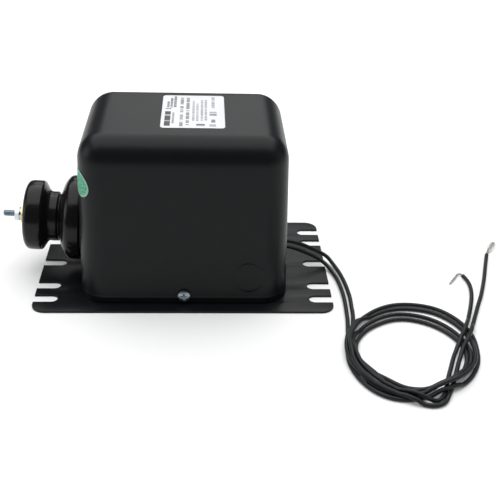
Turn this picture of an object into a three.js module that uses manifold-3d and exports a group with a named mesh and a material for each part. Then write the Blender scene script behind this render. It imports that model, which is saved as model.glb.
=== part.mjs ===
// Burner ignition transformer: a potted steel can on a slotted base plate, one high-voltage
// bushing with a threaded terminal, and two loose primary leads. Millimetres, +Z up. The origin
// is the centre of the base plate's underside; +X is the lead end and -X the bushing end.
import * as THREE from 'three';
import { mergeVertices } from 'three/addons/utils/BufferGeometryUtils.js';
import Module from 'manifold-3d';

const wasm = await Module();
wasm.setup();

// ---- driving dimensions -------------------------------------------------------------------
const GAP = 0.3; // clearance left between neighbouring pieces
const FAR = 400; // longer than anything that a cutter has to pass through

const PLATE_LENGTH = 203.2;
const PLATE_WIDTH = 127;
const PLATE_THICK = 1.5; // 16 gauge steel
const PLATE_CORNER = 9;
const SLOT_RADIUS = 4.15;
const SLOT_DEPTH = 16; // from the plate's edge to the tip of the slot
const SLOT_ROWS = [-47.6, -30.8, 0, 30.8, 47.6];

const CAN_LENGTH = 140.5; // outside, at the foot
const CAN_DEPTH = 107.9;
const CAN_TOP = 117.9;
const CAN_FOOT = PLATE_THICK + 0.2;
const CAN_CORNER = 18; // plan radius of the four upright corners
const CAN_CROWN = 17.6; // radius that rolls the walls into the top
const CAN_WALL = 1.2;
const CAN_DRAFT = 0.0269; // each wall leans in by this much per millimetre of height
const CAN_SKIRT = 20; // drawn below the foot, then cut off

const KNOCKOUT_RADIUS = 11; // half-inch trade size
const KNOCKOUT_X = 43.4;
const KNOCKOUT_Z = 21.9;

const SCREW_Z = 8.4;
const SCREW_RADIUS = 2.1; // number 8
const SCREW_HEAD_RADIUS = 4;
const SCREW_HEAD_HEIGHT = 2.6;
const EAR_WIDTH = 16;
const EAR_HEIGHT = 14;

const BUSHING_Z = 38.2; // height of the bushing's axis where it meets the wall
const BUSHING_TILT = THREE.MathUtils.degToRad(3.5);
const STUD_RADIUS = 2.35; // number 10, 32 threads to the inch
const STUD_BORE = 2.45;
const STUD_TIP = 57.4; // distances along the bushing's axis, out from the wall
const DISC_FACE = 41.5;
const SEAT_NUT_HEIGHT = 3.5;
const WASHER_THICK = 0.9;
const NUT_HEIGHT = 3.2;
const NUT_CHAMFER = 0.8;
const SEAT_NUT_FLATS = 11.5;
const NUT_FLATS = 9.53; // three-eighths of an inch
const FIT = 0.1; // clearance between stacked pieces on the stud

const LEAD_RADIUS = 1.4; // 18 AWG stranded, 0.8 mm insulation
const STRAND_RADIUS = 0.7;
const LEAD_HOLE_RADIUS = 6.5;
const LEAD_EXIT_Z = 18.6;

const CORE_LENGTH = 92;
const CORE_WIDTH = 84;
const CORE_STACK = 34;
const CORE_LEG = 13;
const CORE_TONGUE = 26;
const CORE_X = 10;
const CORE_Z = 50;

// ---- materials ----------------------------------------------------------------------------
function finish(colour, roughness, metalness) {
  return new THREE.MeshStandardMaterial({ color: colour, roughness, metalness });
}

const blackPaint = finish(0x17181a, 0.42, 0.2);
const zinc = finish(0xb9c3c9, 0.3, 1);
const brass = finish(0xc9b45c, 0.3, 1);
const porcelain = finish(0x131416, 0.1, 0);
const blackPlastic = finish(0x151515, 0.5, 0);
const rubber = finish(0x202020, 0.8, 0);
const tinned = finish(0xc8c4b8, 0.35, 1);
const copper = finish(0xb4653a, 0.35, 1);
const lamination = finish(0x5d5f62, 0.5, 0.9);
const formBoard = finish(0xb99a6b, 0.8, 0);
const compound = finish(0x1b1917, 0.7, 0);
const labelPaper = finish(0xe8e8e4, 0.5, 0);
const greenPaper = finish(0x4fae82, 0.5, 0);

// ---- solids -------------------------------------------------------------------------------
// A closed mesh as a solid that can be cut: its corners are merged and its slivers dropped.
function toSolid(geometry) {
  const bare = geometry.clone();
  bare.deleteAttribute('normal');
  bare.deleteAttribute('uv');
  const merged = mergeVertices(bare, 1e-4);
  const corners = merged.index.array;
  const faces = [];
  for (let i = 0; i < corners.length; i += 3) {
    const [a, b, c] = [corners[i], corners[i + 1], corners[i + 2]];
    if (a !== b && b !== c && c !== a) faces.push(a, b, c);
  }
  const vertProperties = new Float32Array(merged.attributes.position.array);
  return new wasm.Manifold(new wasm.Mesh({ numProp: 3, vertProperties, triVerts: new Uint32Array(faces) }));
}

function toGeometry(solid) {
  const mesh = solid.getMesh();
  const geometry = new THREE.BufferGeometry();
  geometry.setAttribute('position', new THREE.BufferAttribute(new Float32Array(mesh.vertProperties), 3));
  geometry.setIndex(new THREE.BufferAttribute(new Uint32Array(mesh.triVerts), 1));
  return geometry;
}

function cut(base, ...tools) {
  return toGeometry(tools.reduce((solid, tool) => solid.subtract(toSolid(tool)), toSolid(base)));
}

function join(base, ...others) {
  return toGeometry(others.reduce((solid, other) => solid.add(toSolid(other)), toSolid(base)));
}

function common(first, second) {
  return toGeometry(toSolid(first).intersect(toSolid(second)));
}

function block(x0, x1, y0, y1, z0, z1) {
  const box = new THREE.BoxGeometry(x1 - x0, y1 - y0, z1 - z0);
  return box.translate((x0 + x1) / 2, (y0 + y1) / 2, (z0 + z1) / 2);
}

// A rod of radius r from a to b along the named axis, centred on p and q across it.
function rod(axis, r, a, b, p, q, sides = 24) {
  const geometry = new THREE.CylinderGeometry(r, r, b - a, sides);
  const middle = (a + b) / 2;
  if (axis === 'x') return geometry.rotateZ(-Math.PI / 2).translate(middle, p, q);
  if (axis === 'y') return geometry.translate(p, middle, q);
  return geometry.rotateX(Math.PI / 2).translate(p, q, middle);
}

// A turned piece. The profile lists [radius, distance along the axis], with the outside
// going up the axis; a piece with a bore closes on its first point.
function turned(profile, sides = 32) {
  const points = profile.map(([r, s]) => new THREE.Vector2(r, s));
  return new THREE.LatheGeometry(points, sides);
}

function turnedRing(profile, sides = 32) {
  return turned([...profile, profile[0]], sides);
}

// Turns a piece's axis from +Y onto the bushing's axis, out through the left wall.
function alongBushing(geometry) {
  const wallX = -(CAN_LENGTH / 2 - CAN_DRAFT * (BUSHING_Z - PLATE_THICK));
  geometry.rotateZ(Math.PI / 2);
  geometry.rotateY(BUSHING_TILT);
  return geometry.translate(wallX, 0, BUSHING_Z);
}

function roundedRect(length, width, radius) {
  const x = length / 2;
  const y = width / 2;
  const shape = new THREE.Shape();
  shape.moveTo(-x + radius, -y);
  shape.lineTo(x - radius, -y);
  shape.absarc(x - radius, -y + radius, radius, -Math.PI / 2, 0, false);
  shape.lineTo(x, y - radius);
  shape.absarc(x - radius, y - radius, radius, 0, Math.PI / 2, false);
  shape.lineTo(-x + radius, y);
  shape.absarc(-x + radius, y - radius, radius, Math.PI / 2, Math.PI, false);
  shape.lineTo(-x, -y + radius);
  shape.absarc(-x + radius, -y + radius, radius, Math.PI, Math.PI * 1.5, false);
  return shape;
}

function sheet(shape, z0, z1, curveSegments = 8) {
  const geometry = new THREE.ExtrudeGeometry(shape, { depth: z1 - z0, bevelEnabled: false, curveSegments });
  return geometry.translate(0, 0, z0);
}

// A hexagonal nut on the bushing's axis, from s0 outwards, with a chamfered outer face.
function hexNut(acrossFlats, s0, height, chamfered) {
  const corner = acrossFlats / Math.sqrt(3);
  const prism = new THREE.CylinderGeometry(corner, corner, height, 6);
  prism.translate(0, s0 + height / 2, 0);
  const dome = turned([
    [0, s0],
    [corner + 1, s0],
    [corner + 1, s0 + height - NUT_CHAMFER],
    [acrossFlats / 2 - 0.1, s0 + height],
    [0, s0 + height],
  ]);
  const bore = new THREE.CylinderGeometry(STUD_BORE, STUD_BORE, height * 3, 24);
  bore.translate(0, s0, 0);
  const hex = chamfered ? common(prism, dome) : prism;
  return cut(hex, bore);
}

// A round cord or wire along a smooth route through the points.
function wire(points, radius, steps, sides = 8) {
  const circle = new THREE.Shape();
  circle.absarc(0, 0, radius, 0, Math.PI * 2, false);
  const route = new THREE.CatmullRomCurve3(points.map((p) => new THREE.Vector3(...p)), false, 'centripetal');
  return new THREE.ExtrudeGeometry(circle, {
    steps, extrudePath: route, bevelEnabled: false, curveSegments: sides / 2,
  });
}

// ---- base plate ---------------------------------------------------------------------------
// Sheet with five open slots in each short edge and two ears lanced and bent up inside the can.
const EAR_Y = CAN_DEPTH / 2 - CAN_WALL - 2 * GAP; // outer face of an ear

function plateOutline() {
  const outline = roundedRect(PLATE_LENGTH, PLATE_WIDTH, PLATE_CORNER);
  for (const side of [-1, 1]) {
    outline.holes.push(new THREE.Path([
      new THREE.Vector2(-EAR_WIDTH / 2, side * (EAR_Y - PLATE_THICK - GAP)),
      new THREE.Vector2(EAR_WIDTH / 2, side * (EAR_Y - PLATE_THICK - GAP)),
      new THREE.Vector2(EAR_WIDTH / 2, side * (EAR_Y - EAR_HEIGHT)),
      new THREE.Vector2(-EAR_WIDTH / 2, side * (EAR_Y - EAR_HEIGHT)),
    ]));
  }
  return outline;
}

function slotCutters() {
  const cutters = [];
  for (const side of [-1, 1]) {
    const tip = side * (PLATE_LENGTH / 2 - SLOT_DEPTH);
    const centre = tip + side * SLOT_RADIUS;
    for (const y of SLOT_ROWS) {
      cutters.push(rod('z', SLOT_RADIUS, -5, 5, centre, y, 20));
      const [x0, x1] = [centre, side * (PLATE_LENGTH / 2 + 5)].sort((a, b) => a - b);
      cutters.push(block(x0, x1, y - SLOT_RADIUS, y + SLOT_RADIUS, -5, 5));
    }
  }
  return cutters;
}

function ear(side) {
  const [y0, y1] = [side * (EAR_Y - PLATE_THICK), side * EAR_Y].sort((a, b) => a - b);
  const upright = block(-EAR_WIDTH / 2, EAR_WIDTH / 2, y0, y1, PLATE_THICK / 2, EAR_HEIGHT);
  return cut(upright, rod('y', SCREW_RADIUS + 0.1, y0 - 5, y1 + 5, 0, SCREW_Z, 16));
}

function basePlate() {
  const flat = cut(sheet(plateOutline(), 0, PLATE_THICK), ...slotCutters());
  return join(flat, ear(-1), ear(1));
}

// ---- can ----------------------------------------------------------------------------------
// The can's outline as a solid, drawn in by `inset` all round and leaning in with the draft.
function canBody(inset, segments = 6) {
  const crown = CAN_CROWN - inset;
  const core = roundedRect(CAN_LENGTH - 2 * CAN_CROWN, CAN_DEPTH - 2 * CAN_CROWN, CAN_CORNER - CAN_CROWN);
  const depth = CAN_TOP - CAN_CROWN + CAN_SKIRT;
  const body = new THREE.ExtrudeGeometry(core, {
    depth, bevelThickness: crown, bevelSize: crown, bevelSegments: segments, curveSegments: segments,
  });
  body.translate(0, 0, -CAN_SKIRT);
  const corners = body.attributes.position;
  for (let i = 0; i < corners.count; i += 1) {
    const lean = CAN_DRAFT * (corners.getZ(i) - PLATE_THICK);
    corners.setX(i, corners.getX(i) * (1 - lean / (CAN_LENGTH / 2)));
    corners.setY(i, corners.getY(i) * (1 - lean / (CAN_DEPTH / 2)));
  }
  return body;
}

function belowFoot(z) {
  return block(-FAR, FAR, -FAR, FAR, -FAR, z);
}

const canWall = cut(canBody(0), canBody(CAN_WALL), belowFoot(CAN_FOOT));

function knockoutRod(side, radius) {
  const wallY = CAN_DEPTH / 2;
  const [y0, y1] = [side * (wallY - 10), side * (wallY + 10)].sort((a, b) => a - b);
  return rod('y', radius, y0, y1, KNOCKOUT_X, KNOCKOUT_Z, 32);
}

function caseShell() {
  const bushingHole = new THREE.CylinderGeometry(15, 15, 30, 32);
  return cut(
    canWall,
    knockoutRod(-1, KNOCKOUT_RADIUS + GAP),
    knockoutRod(1, KNOCKOUT_RADIUS + GAP),
    rod('y', SCREW_RADIUS + 0.2, -FAR, FAR, 0, SCREW_Z, 16),
    rod('x', LEAD_HOLE_RADIUS, CAN_LENGTH / 2 - 10, CAN_LENGTH / 2 + 10, 0, LEAD_EXIT_Z, 24),
    alongBushing(bushingHole),
  );
}

function knockout(side) {
  return common(canWall, knockoutRod(side, KNOCKOUT_RADIUS));
}

// Pan-head screw with a cross recess, through the can's wall and the ear behind it.
function caseScrew(side, shankLength) {
  const wallLean = CAN_DRAFT * (SCREW_Z - PLATE_THICK);
  const seat = CAN_DEPTH / 2 - wallLean + 0.15;
  const head = SCREW_HEAD_RADIUS;
  const screw = turned([
    [0, -shankLength],
    [SCREW_RADIUS - 0.5, -shankLength],
    [SCREW_RADIUS - 0.05, 1 - shankLength],
    [SCREW_RADIUS - 0.05, 0],
    [head, 0],
    [head, SCREW_HEAD_HEIGHT * 0.4],
    [head * 0.85, SCREW_HEAD_HEIGHT * 0.85],
    [head * 0.5, SCREW_HEAD_HEIGHT],
    [0, SCREW_HEAD_HEIGHT],
  ], 18);
  const deep = SCREW_HEAD_HEIGHT + 1;
  const shallow = SCREW_HEAD_HEIGHT - 1.5;
  const recessed = cut(
    screw,
    block(-0.45, 0.45, shallow, deep, -2.1, 2.1),
    block(-2.1, 2.1, shallow, deep, -0.45, 0.45),
  );
  if (side < 0) recessed.rotateX(Math.PI);
  return recessed.translate(0, side * seat, SCREW_Z);
}

// ---- high-voltage bushing -----------------------------------------------------------------
// Glazed porcelain spool: a domed flange at the wall, a short grooved neck and an outer disc.
function hvBushing() {
  return alongBushing(turnedRing([
    [3, -14], [10.5, -14], [12, -12.5], [14, -12.5], [14, 2.3], [29.2, 2.3],
    [29.6, 3.2], [29.6, 8.8], [28.9, 11.2], [26.8, 13.4], [23.4, 15.3], [19.5, 16.6],
    [16.2, 17.2], [15.5, 18], [15.7, 18.7], [17.1, 19.2], [17.3, 20], [17.1, 23.4],
    [17.4, 24.8], [18.8, 26.2], [21.6, 27.8], [23.9, 29.2], [24.35, 30.6],
    [24.35, 37], [23.8, 39.2], [22, 40.9], [19.4, 41.7], [10, DISC_FACE],
    [8.5, DISC_FACE - 0.2], [3, DISC_FACE - 0.2],
  ], 28));
}

// Rubber washer between the flange and the wall, faced off where the wall leans away from it.
function bushingGasket() {
  const ring = turnedRing([[15.4, -3], [27.5, -3], [27.5, 2], [15.4, 2]], 32);
  return cut(alongBushing(ring), canBody(-0.1));
}

// Sprung steel ring pushed over the porcelain inside the can to hold the bushing in.
function bushingRetainer() {
  const ring = turnedRing([[14.3, -5.2], [15.3, -5.2], [21.5, -3.4], [21.5, -2.5], [14.3, -4.2]], 32);
  return alongBushing(ring);
}

function terminalStud() {
  const r = STUD_RADIUS;
  return alongBushing(turned([
    [0, -21], [r - 0.5, -21], [r, -20.5], [r, STUD_TIP - 0.6], [r - 0.6, STUD_TIP], [0, STUD_TIP],
  ], 24));
}

const SEAT_NUT_S = DISC_FACE + FIT;
const WASHER_S = SEAT_NUT_S + SEAT_NUT_HEIGHT + FIT;
const NUT_S = WASHER_S + WASHER_THICK + FIT;

// Split lock washer, drawn flat: the split is a narrow gap through one side.
function terminalWasher() {
  const ring = turnedRing([
    [STUD_BORE + 0.1, WASHER_S], [4.2, WASHER_S],
    [4.2, WASHER_S + WASHER_THICK], [STUD_BORE + 0.1, WASHER_S + WASHER_THICK],
  ], 24);
  const split = block(-0.3, 0.3, WASHER_S - 1, WASHER_S + WASHER_THICK + 1, 1, 6);
  return alongBushing(cut(ring, split));
}

function stackedRing(inner, outer, s0, s1) {
  return turnedRing([[inner, s0], [outer, s0], [outer, s1], [inner, s1]], 24);
}

// Ring tongue terminal on the stud's inner end, its barrel standing up to take the lead.
function highVoltageLug() {
  const ring = stackedRing(STUD_BORE, 4.8, -16.5, -15.6);
  const tongue = block(4, 8.6, -16.5, -15.6, -1.5, 1.5);
  const barrel = rod('x', 1.8, 8, 13.5, -16.05, 0, 12);
  return alongBushing(join(ring, tongue, barrel));
}

// ---- primary leads ------------------------------------------------------------------------
// Snap bushing that lines the lead hole, and the two leads' routes across the floor.
function leadBushing() {
  const wallX = CAN_LENGTH / 2 - CAN_DRAFT * (LEAD_EXIT_Z - PLATE_THICK);
  const ring = turnedRing([
    [4, -5], [5.8, -5], [6, -1.6], [6, GAP], [8, GAP], [8, 1.3], [7, 2.1], [4.6, 2.1], [4, 1.6],
  ], 20);
  return ring.rotateZ(-Math.PI / 2).translate(wallX, 0, LEAD_EXIT_Z);
}

const leadEntryA = [
  [69.6, 1.2, 20.2], [73.8, 1.4, 19.4], [79, 1.8, 17.8], [84.5, 2.2, 15.2], [90, 2.7, 12.1],
  [95, 3.4, 9.3], [99.6, 3.7, 6.8], [104, 2.2, 4.2], [107.8, -3, 2.3], [110.4, -10.5, 1.6],
  [112.2, -20, 1.45], [113.5, -32, 1.45], [114.1, -45, 1.45], [113.6, -58, 1.45], [113, -68.5, 1.45],
];
const leadEntryB = [
  [69.6, -1.4, 17.2], [73.8, -1.6, 16.4], [79, -1.6, 14.5], [84, -1.4, 12], [89, -1.2, 9.4],
  [94, -1.2, 6.9], [98.5, -2.3, 4.7], [102.3, -5.3, 3], [105.3, -10.8, 1.9], [107.8, -19.5, 1.5],
  [109.2, -30, 1.45], [109.9, -42, 1.45], [109.8, -54, 1.45], [109.2, -65, 1.45], [108.6, -74, 1.45],
];
const leadTailA = [
  [187.6, -78.5, 3.4], [190.2, -72, 1.9], [193.6, -63, 1.45], [196.8, -54, 1.45],
  [199.6, -45, 1.45], [201.6, -36, 1.45], [202.4, -28, 1.45], [201.9, -21, 1.45],
  [200.6, -16.5, 1.45],
];
const leadTailB = [
  [190.6, -81.5, 3.4], [193.6, -74, 1.9], [197.6, -64.5, 1.45], [202, -54, 1.45],
  [206.6, -43.5, 1.45], [211.4, -31, 1.45], [216, -18, 1.45], [220.6, -4, 1.45],
  [224.6, 8, 1.45], [226.6, 14, 1.45],
];
const strandsA = [
  [200.45, -16.05, 1.45], [199.7, -14.3, 1.4], [198.2, -13.7, 1.3], [196.2, -16, 1.15],
  [192.6, -21.2, 0.9], [188.4, -27, 0.75],
];
const strandsB = [[226.9, 14.6, 1.45], [229.6, 20.2, 1.4], [233.2, 26.6, 1.3], [238.4, 34.4, 1.2]];

const COIL_CENTRE = [144.6, -108];
const COIL_INNER = 31;
const COIL_OUTER = 42.8;
const COIL_STRETCH = 1.215; // the loose coil is longer along Y than along X
const COIL_HEIGHT = 9.6;
const COIL_EDGE = 1.4; // how far the ring's lower edges are cut back
const COIL_SHOULDER = 4; // and its upper ones

// The space that the loosely wound leads fill, with soft edges.
function leadCoil() {
  const ring = turnedRing([
    [COIL_INNER, COIL_EDGE], [COIL_INNER + COIL_EDGE, 0.05],
    [COIL_OUTER - COIL_EDGE, 0.05], [COIL_OUTER, COIL_EDGE],
    [COIL_OUTER, COIL_HEIGHT - COIL_SHOULDER], [COIL_OUTER - COIL_SHOULDER, COIL_HEIGHT],
    [COIL_INNER + COIL_SHOULDER, COIL_HEIGHT], [COIL_INNER, COIL_HEIGHT - COIL_SHOULDER],
  ], 32);
  ring.rotateX(Math.PI / 2);
  ring.scale(1, COIL_STRETCH, 1);
  return ring.translate(COIL_CENTRE[0], COIL_CENTRE[1], 0);
}

// ---- labels -------------------------------------------------------------------------------
const LABEL_SIZE = [41.6, 59];
const LABEL_CENTRE = [5.6, 1.5];
const LABEL_CORNER = 2.5;
const FILM = 0.2; // a printed film and its adhesive
const STICKER_LENGTH = 20; // straight across, from end to end
const STICKER_WIDTH = 15.6;
const STICKER_FACING = THREE.MathUtils.degToRad(27); // round from -X towards the front
const STICKER_SLANT = THREE.MathUtils.degToRad(50); // its upper end leans to the rear
const STICKER_CENTRE = [-66, -42.4, 86];

function ratingLabel() {
  const outline = roundedRect(...LABEL_SIZE, LABEL_CORNER);
  const label = sheet(outline, CAN_TOP + 0.05, CAN_TOP + 0.05 + FILM, 4);
  return label.translate(...LABEL_CENTRE, 0);
}

// Oval sticker that follows the can round its front left corner, above the bushing.
function testSticker() {
  const skin = cut(canBody(-0.05 - FILM), canBody(-0.08));
  const reach = 20; // how far the oval punch stands out on each side of the skin
  const oval = new THREE.CylinderGeometry(1, 1, 2 * reach, 28);
  oval.scale(STICKER_WIDTH / 2, 1, STICKER_LENGTH / 2);
  oval.rotateY(STICKER_SLANT);
  oval.rotateZ(Math.PI / 2 + STICKER_FACING);
  const [x, y, z] = STICKER_CENTRE;
  const away = reach - 8;
  oval.translate(x - away * Math.cos(STICKER_FACING), y - away * Math.sin(STICKER_FACING), z);
  return common(skin, oval);
}

// ---- core and windings --------------------------------------------------------------------
const CORE_LEFT = CORE_X - CORE_LENGTH / 2;
const CORE_RIGHT = CORE_X + CORE_LENGTH / 2;
const CORE_LOW = CORE_Z - CORE_STACK / 2;
const CORE_HIGH = CORE_Z + CORE_STACK / 2;
const WINDOW_IN = CORE_TONGUE / 2;
const WINDOW_OUT = CORE_WIDTH / 2 - CORE_LEG;

// The E-shaped half of the core: a back at the lead end, two outer legs and the centre tongue.
function coreStackE() {
  const [left, right, half] = [CORE_LEFT + CORE_LEG + GAP, CORE_RIGHT, CORE_WIDTH / 2];
  const body = block(left, right, -half, half, CORE_LOW, CORE_HIGH);
  const windows = [-1, 1].map((side) => {
    const [y0, y1] = [side * WINDOW_IN, side * WINDOW_OUT].sort((a, b) => a - b);
    return block(left - 1, right - CORE_LEG, y0, y1, CORE_LOW - 1, CORE_HIGH + 1);
  });
  return cut(body, ...windows);
}

function coreBarI() {
  const half = CORE_WIDTH / 2;
  return block(CORE_LEFT, CORE_LEFT + CORE_LEG, -half, half, CORE_LOW, CORE_HIGH);
}

function coreBand() {
  const [x0, x1, y] = [CORE_LEFT - 1.1, CORE_RIGHT + 1.1, CORE_WIDTH / 2 + 1.1];
  const outer = block(x0, x1, -y, y, CORE_Z - 6, CORE_Z + 6);
  const inner = block(x0 + 0.8, x1 - 0.8, -y + 0.8, y - 0.8, CORE_Z - 7, CORE_Z + 7);
  return cut(outer, inner);
}

// A rectangular sleeve round the tongue between two x planes.
function sleeve(x0, x1, innerY, innerZ, outerY, outerZ) {
  const body = block(x0, x1, -outerY, outerY, CORE_Z - outerZ, CORE_Z + outerZ);
  return cut(body, block(x0 - 1, x1 + 1, -innerY, innerY, CORE_Z - innerZ, CORE_Z + innerZ));
}

const FORM_Y = WINDOW_IN + GAP;
const FORM_Z = CORE_STACK / 2 + GAP;
const FLANGE_Y = WINDOW_OUT - GAP;
const FORM_WALL = 1;

function coilForm(x0, x1, coilHeight) {
  const tube = sleeve(x0, x1, FORM_Y, FORM_Z, FORM_Y + FORM_WALL, FORM_Z + FORM_WALL);
  const left = sleeve(x0, x0 + FORM_WALL, FORM_Y, FORM_Z, FLANGE_Y, coilHeight);
  const right = sleeve(x1 - FORM_WALL, x1, FORM_Y, FORM_Z, FLANGE_Y, coilHeight);
  return join(tube, left, right);
}

function winding(x0, x1, coilHeight) {
  const [y, z] = [FORM_Y + FORM_WALL + GAP, FORM_Z + FORM_WALL + GAP];
  return sleeve(x0 + FORM_WALL + GAP, x1 - FORM_WALL - GAP, y, z, FLANGE_Y - 0.5, coilHeight - 0.5);
}

const SECONDARY = [CORE_LEFT + CORE_LEG + 1, 12.2, 35];
const PRIMARY = [20.8, CORE_RIGHT - CORE_LEG - 0.6, 31];

function magneticShunt(side) {
  const [y0, y1] = [side * (WINDOW_IN + 0.8), side * (WINDOW_OUT - 0.8)].sort((a, b) => a - b);
  return block(13.2, 19.8, y0, y1, CORE_LOW + 2, CORE_HIGH - 2);
}

function coreSpacer(x) {
  return block(x - 6, x + 6, -27, 27, 3.1, CORE_LOW - GAP);
}

// ---- internal wiring ----------------------------------------------------------------------
const highVoltageLead = [
  [-15, 0, 86.4], [-20, 0, 92], [-30, 0, 95], [-42, 0, 90], [-50, 0, 78], [-52.6, 0, 64], [-52.6, 0, 50.6],
];
const groundLead = [[4, 29.4, 24], [4, 34, 18], [3, 40, 12], [2, 43.6, 12], [0, 45.2, 14.8]];

function innerLead(side) {
  const y = side > 0 ? 1.2 : -1.4;
  const z = side > 0 ? 20.2 : 17.2;
  return [
    [69.2, y, z], [63.8, y * 1.1, z], [61.4, side * 5, z + 0.5], [60.5, side * 11, 20.5], [60.5, side * 16.6, 21],
  ];
}

function splice(side) {
  const [y0, y1] = [side * 17.4, side * 30].sort((a, b) => a - b);
  return rod('y', 2.6, y0, y1, 60.5, 21, 12);
}

function primaryTail(side) {
  return [
    [60.5, side * 30.4, 21], [60.5, side * 34, 21.5], [57.5, side * 36, 22], [50, side * 34, 19.5],
    [42, side * 30, 17.2], [37, side * 25, 16.8], [34, side * 19, 17.6], [33.4, side * 17.4, 18.3],
  ];
}

const LUG_THICK = 0.9;
const LUG_Y = EAR_Y - PLATE_THICK - GAP; // the face that bears on the rear ear

function groundLug() {
  const ring = stackedRing(SCREW_RADIUS + 0.2, 4.6, LUG_Y - LUG_THICK, LUG_Y).translate(0, 0, SCREW_Z);
  const tongue = block(-1.6, 1.6, LUG_Y - LUG_THICK, LUG_Y, SCREW_Z + 3.6, SCREW_Z + 9);
  return join(ring, tongue);
}

function groundNut() {
  const y1 = LUG_Y - LUG_THICK - GAP;
  const hex = new THREE.CylinderGeometry(5, 5, 3, 6).translate(0, y1 - 1.5, SCREW_Z);
  return cut(hex, rod('y', SCREW_RADIUS + 0.15, y1 - 9, y1 + 6, 0, SCREW_Z, 20));
}

// Asphalt filling poured round the core. The pocket keeps the outline of what it holds and
// opens downwards on to the base plate.
function pottingCompound() {
  const low = -FAR;
  const room = 1;
  return cut(
    canBody(CAN_WALL + 2 * GAP, 3),
    belowFoot(PLATE_THICK + 1.8),
    block(CORE_LEFT - 2, CORE_RIGHT + 2, -CORE_WIDTH / 2 - 2, CORE_WIDTH / 2 + 2, low, CORE_HIGH + room),
    block(SECONDARY[0] - room, PRIMARY[1] + room, -WINDOW_OUT, WINDOW_OUT, low, CORE_Z + SECONDARY[2] + room),
    block(-FAR, CORE_LEFT, -24, 24, low, CORE_HIGH - 2),
    block(-56, -12, -3, 3, low, 99),
    block(CORE_RIGHT, FAR, -38, 38, low, 32),
    block(-EAR_WIDTH, EAR_WIDTH, -FAR, FAR, low, 22),
  );
}

// ---- assembly -----------------------------------------------------------------------------
const transformer = new THREE.Group();

function add(name, geometry, material) {
  const mesh = new THREE.Mesh(geometry, material);
  mesh.name = name;
  transformer.add(mesh);
}

add('base_plate', basePlate(), blackPaint);
add('case_shell', caseShell(), blackPaint);
add('front_knockout', knockout(-1), blackPaint);
add('rear_knockout', knockout(1), blackPaint);
add('front_case_screw', caseScrew(-1, 6.5), zinc);
add('rear_case_screw', caseScrew(1, 11), zinc);
add('rating_label', ratingLabel(), labelPaper);
add('test_sticker', testSticker(), greenPaper);

add('hv_bushing', hvBushing(), porcelain);
add('bushing_gasket', bushingGasket(), rubber);
add('bushing_retainer', bushingRetainer(), lamination);
add('terminal_stud', terminalStud(), zinc);
add('terminal_seat_nut', alongBushing(hexNut(SEAT_NUT_FLATS, SEAT_NUT_S, SEAT_NUT_HEIGHT, true)), brass);
add('terminal_washer', terminalWasher(), zinc);
add('terminal_nut', alongBushing(hexNut(NUT_FLATS, NUT_S, NUT_HEIGHT, true)), zinc);
add('stud_inner_washer', alongBushing(stackedRing(STUD_BORE, 6.3, -15.3, -14.3)), brass);
add('high_voltage_lug', highVoltageLug(), tinned);
add('stud_inner_nut', alongBushing(hexNut(NUT_FLATS, -19.9, NUT_HEIGHT, false)), brass);

add('lead_bushing', leadBushing(), blackPlastic);
add('primary_lead_a', wire(leadEntryA, LEAD_RADIUS, 26), blackPlastic);
add('primary_lead_b', wire(leadEntryB, LEAD_RADIUS, 26), blackPlastic);
add('lead_coil', leadCoil(), blackPlastic);
add('primary_lead_a_tail', wire(leadTailA, LEAD_RADIUS, 14), blackPlastic);
add('primary_lead_b_tail', wire(leadTailB, LEAD_RADIUS, 18), blackPlastic);
add('lead_a_strands', wire(strandsA, STRAND_RADIUS, 12), tinned);
add('lead_b_strands', wire(strandsB, STRAND_RADIUS, 6), tinned);

add('core_stack_e', coreStackE(), lamination);
add('core_bar_i', coreBarI(), lamination);
add('core_band', coreBand(), zinc);
add('magnetic_shunt_front', magneticShunt(-1), lamination);
add('magnetic_shunt_rear', magneticShunt(1), lamination);
add('primary_form', coilForm(...PRIMARY), formBoard);
add('primary_winding', winding(...PRIMARY), copper);
add('secondary_form', coilForm(...SECONDARY), formBoard);
add('secondary_winding', winding(...SECONDARY), copper);
add('core_spacer_left', coreSpacer(CORE_LEFT + 7), formBoard);
add('core_spacer_right', coreSpacer(CORE_RIGHT - 7), formBoard);
add('base_insulator', block(-40, 60, -38, 38, PLATE_THICK + 0.2, PLATE_THICK + 1), formBoard);

add('high_voltage_lead', wire(highVoltageLead, 1.6, 20), blackPlastic);
add('ground_lead', wire(groundLead, 0.9, 12), copper);
add('ground_lug', groundLug(), tinned);
add('ground_nut', groundNut(), zinc);
for (const [end, side] of [['a', 1], ['b', -1]]) {
  add(`inner_lead_${end}`, wire(innerLead(side), LEAD_RADIUS, 14), blackPlastic);
  add(`splice_${end}`, splice(side), formBoard);
  add(`primary_tail_${end}`, wire(primaryTail(side), 0.5, 18, 6), copper);
}
add('potting_compound', pottingCompound(), compound);

export default transformer;
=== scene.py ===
# Burner ignition transformer: a potted black steel can on a slotted base plate, a glazed
# porcelain high-voltage bushing with a threaded terminal, and two loose primary leads.
# Lengths are worked out in millimetres and laid into the meshes in metres.
import math

import bmesh
import bpy
import numpy as np
from mathutils import Matrix, Vector


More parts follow.
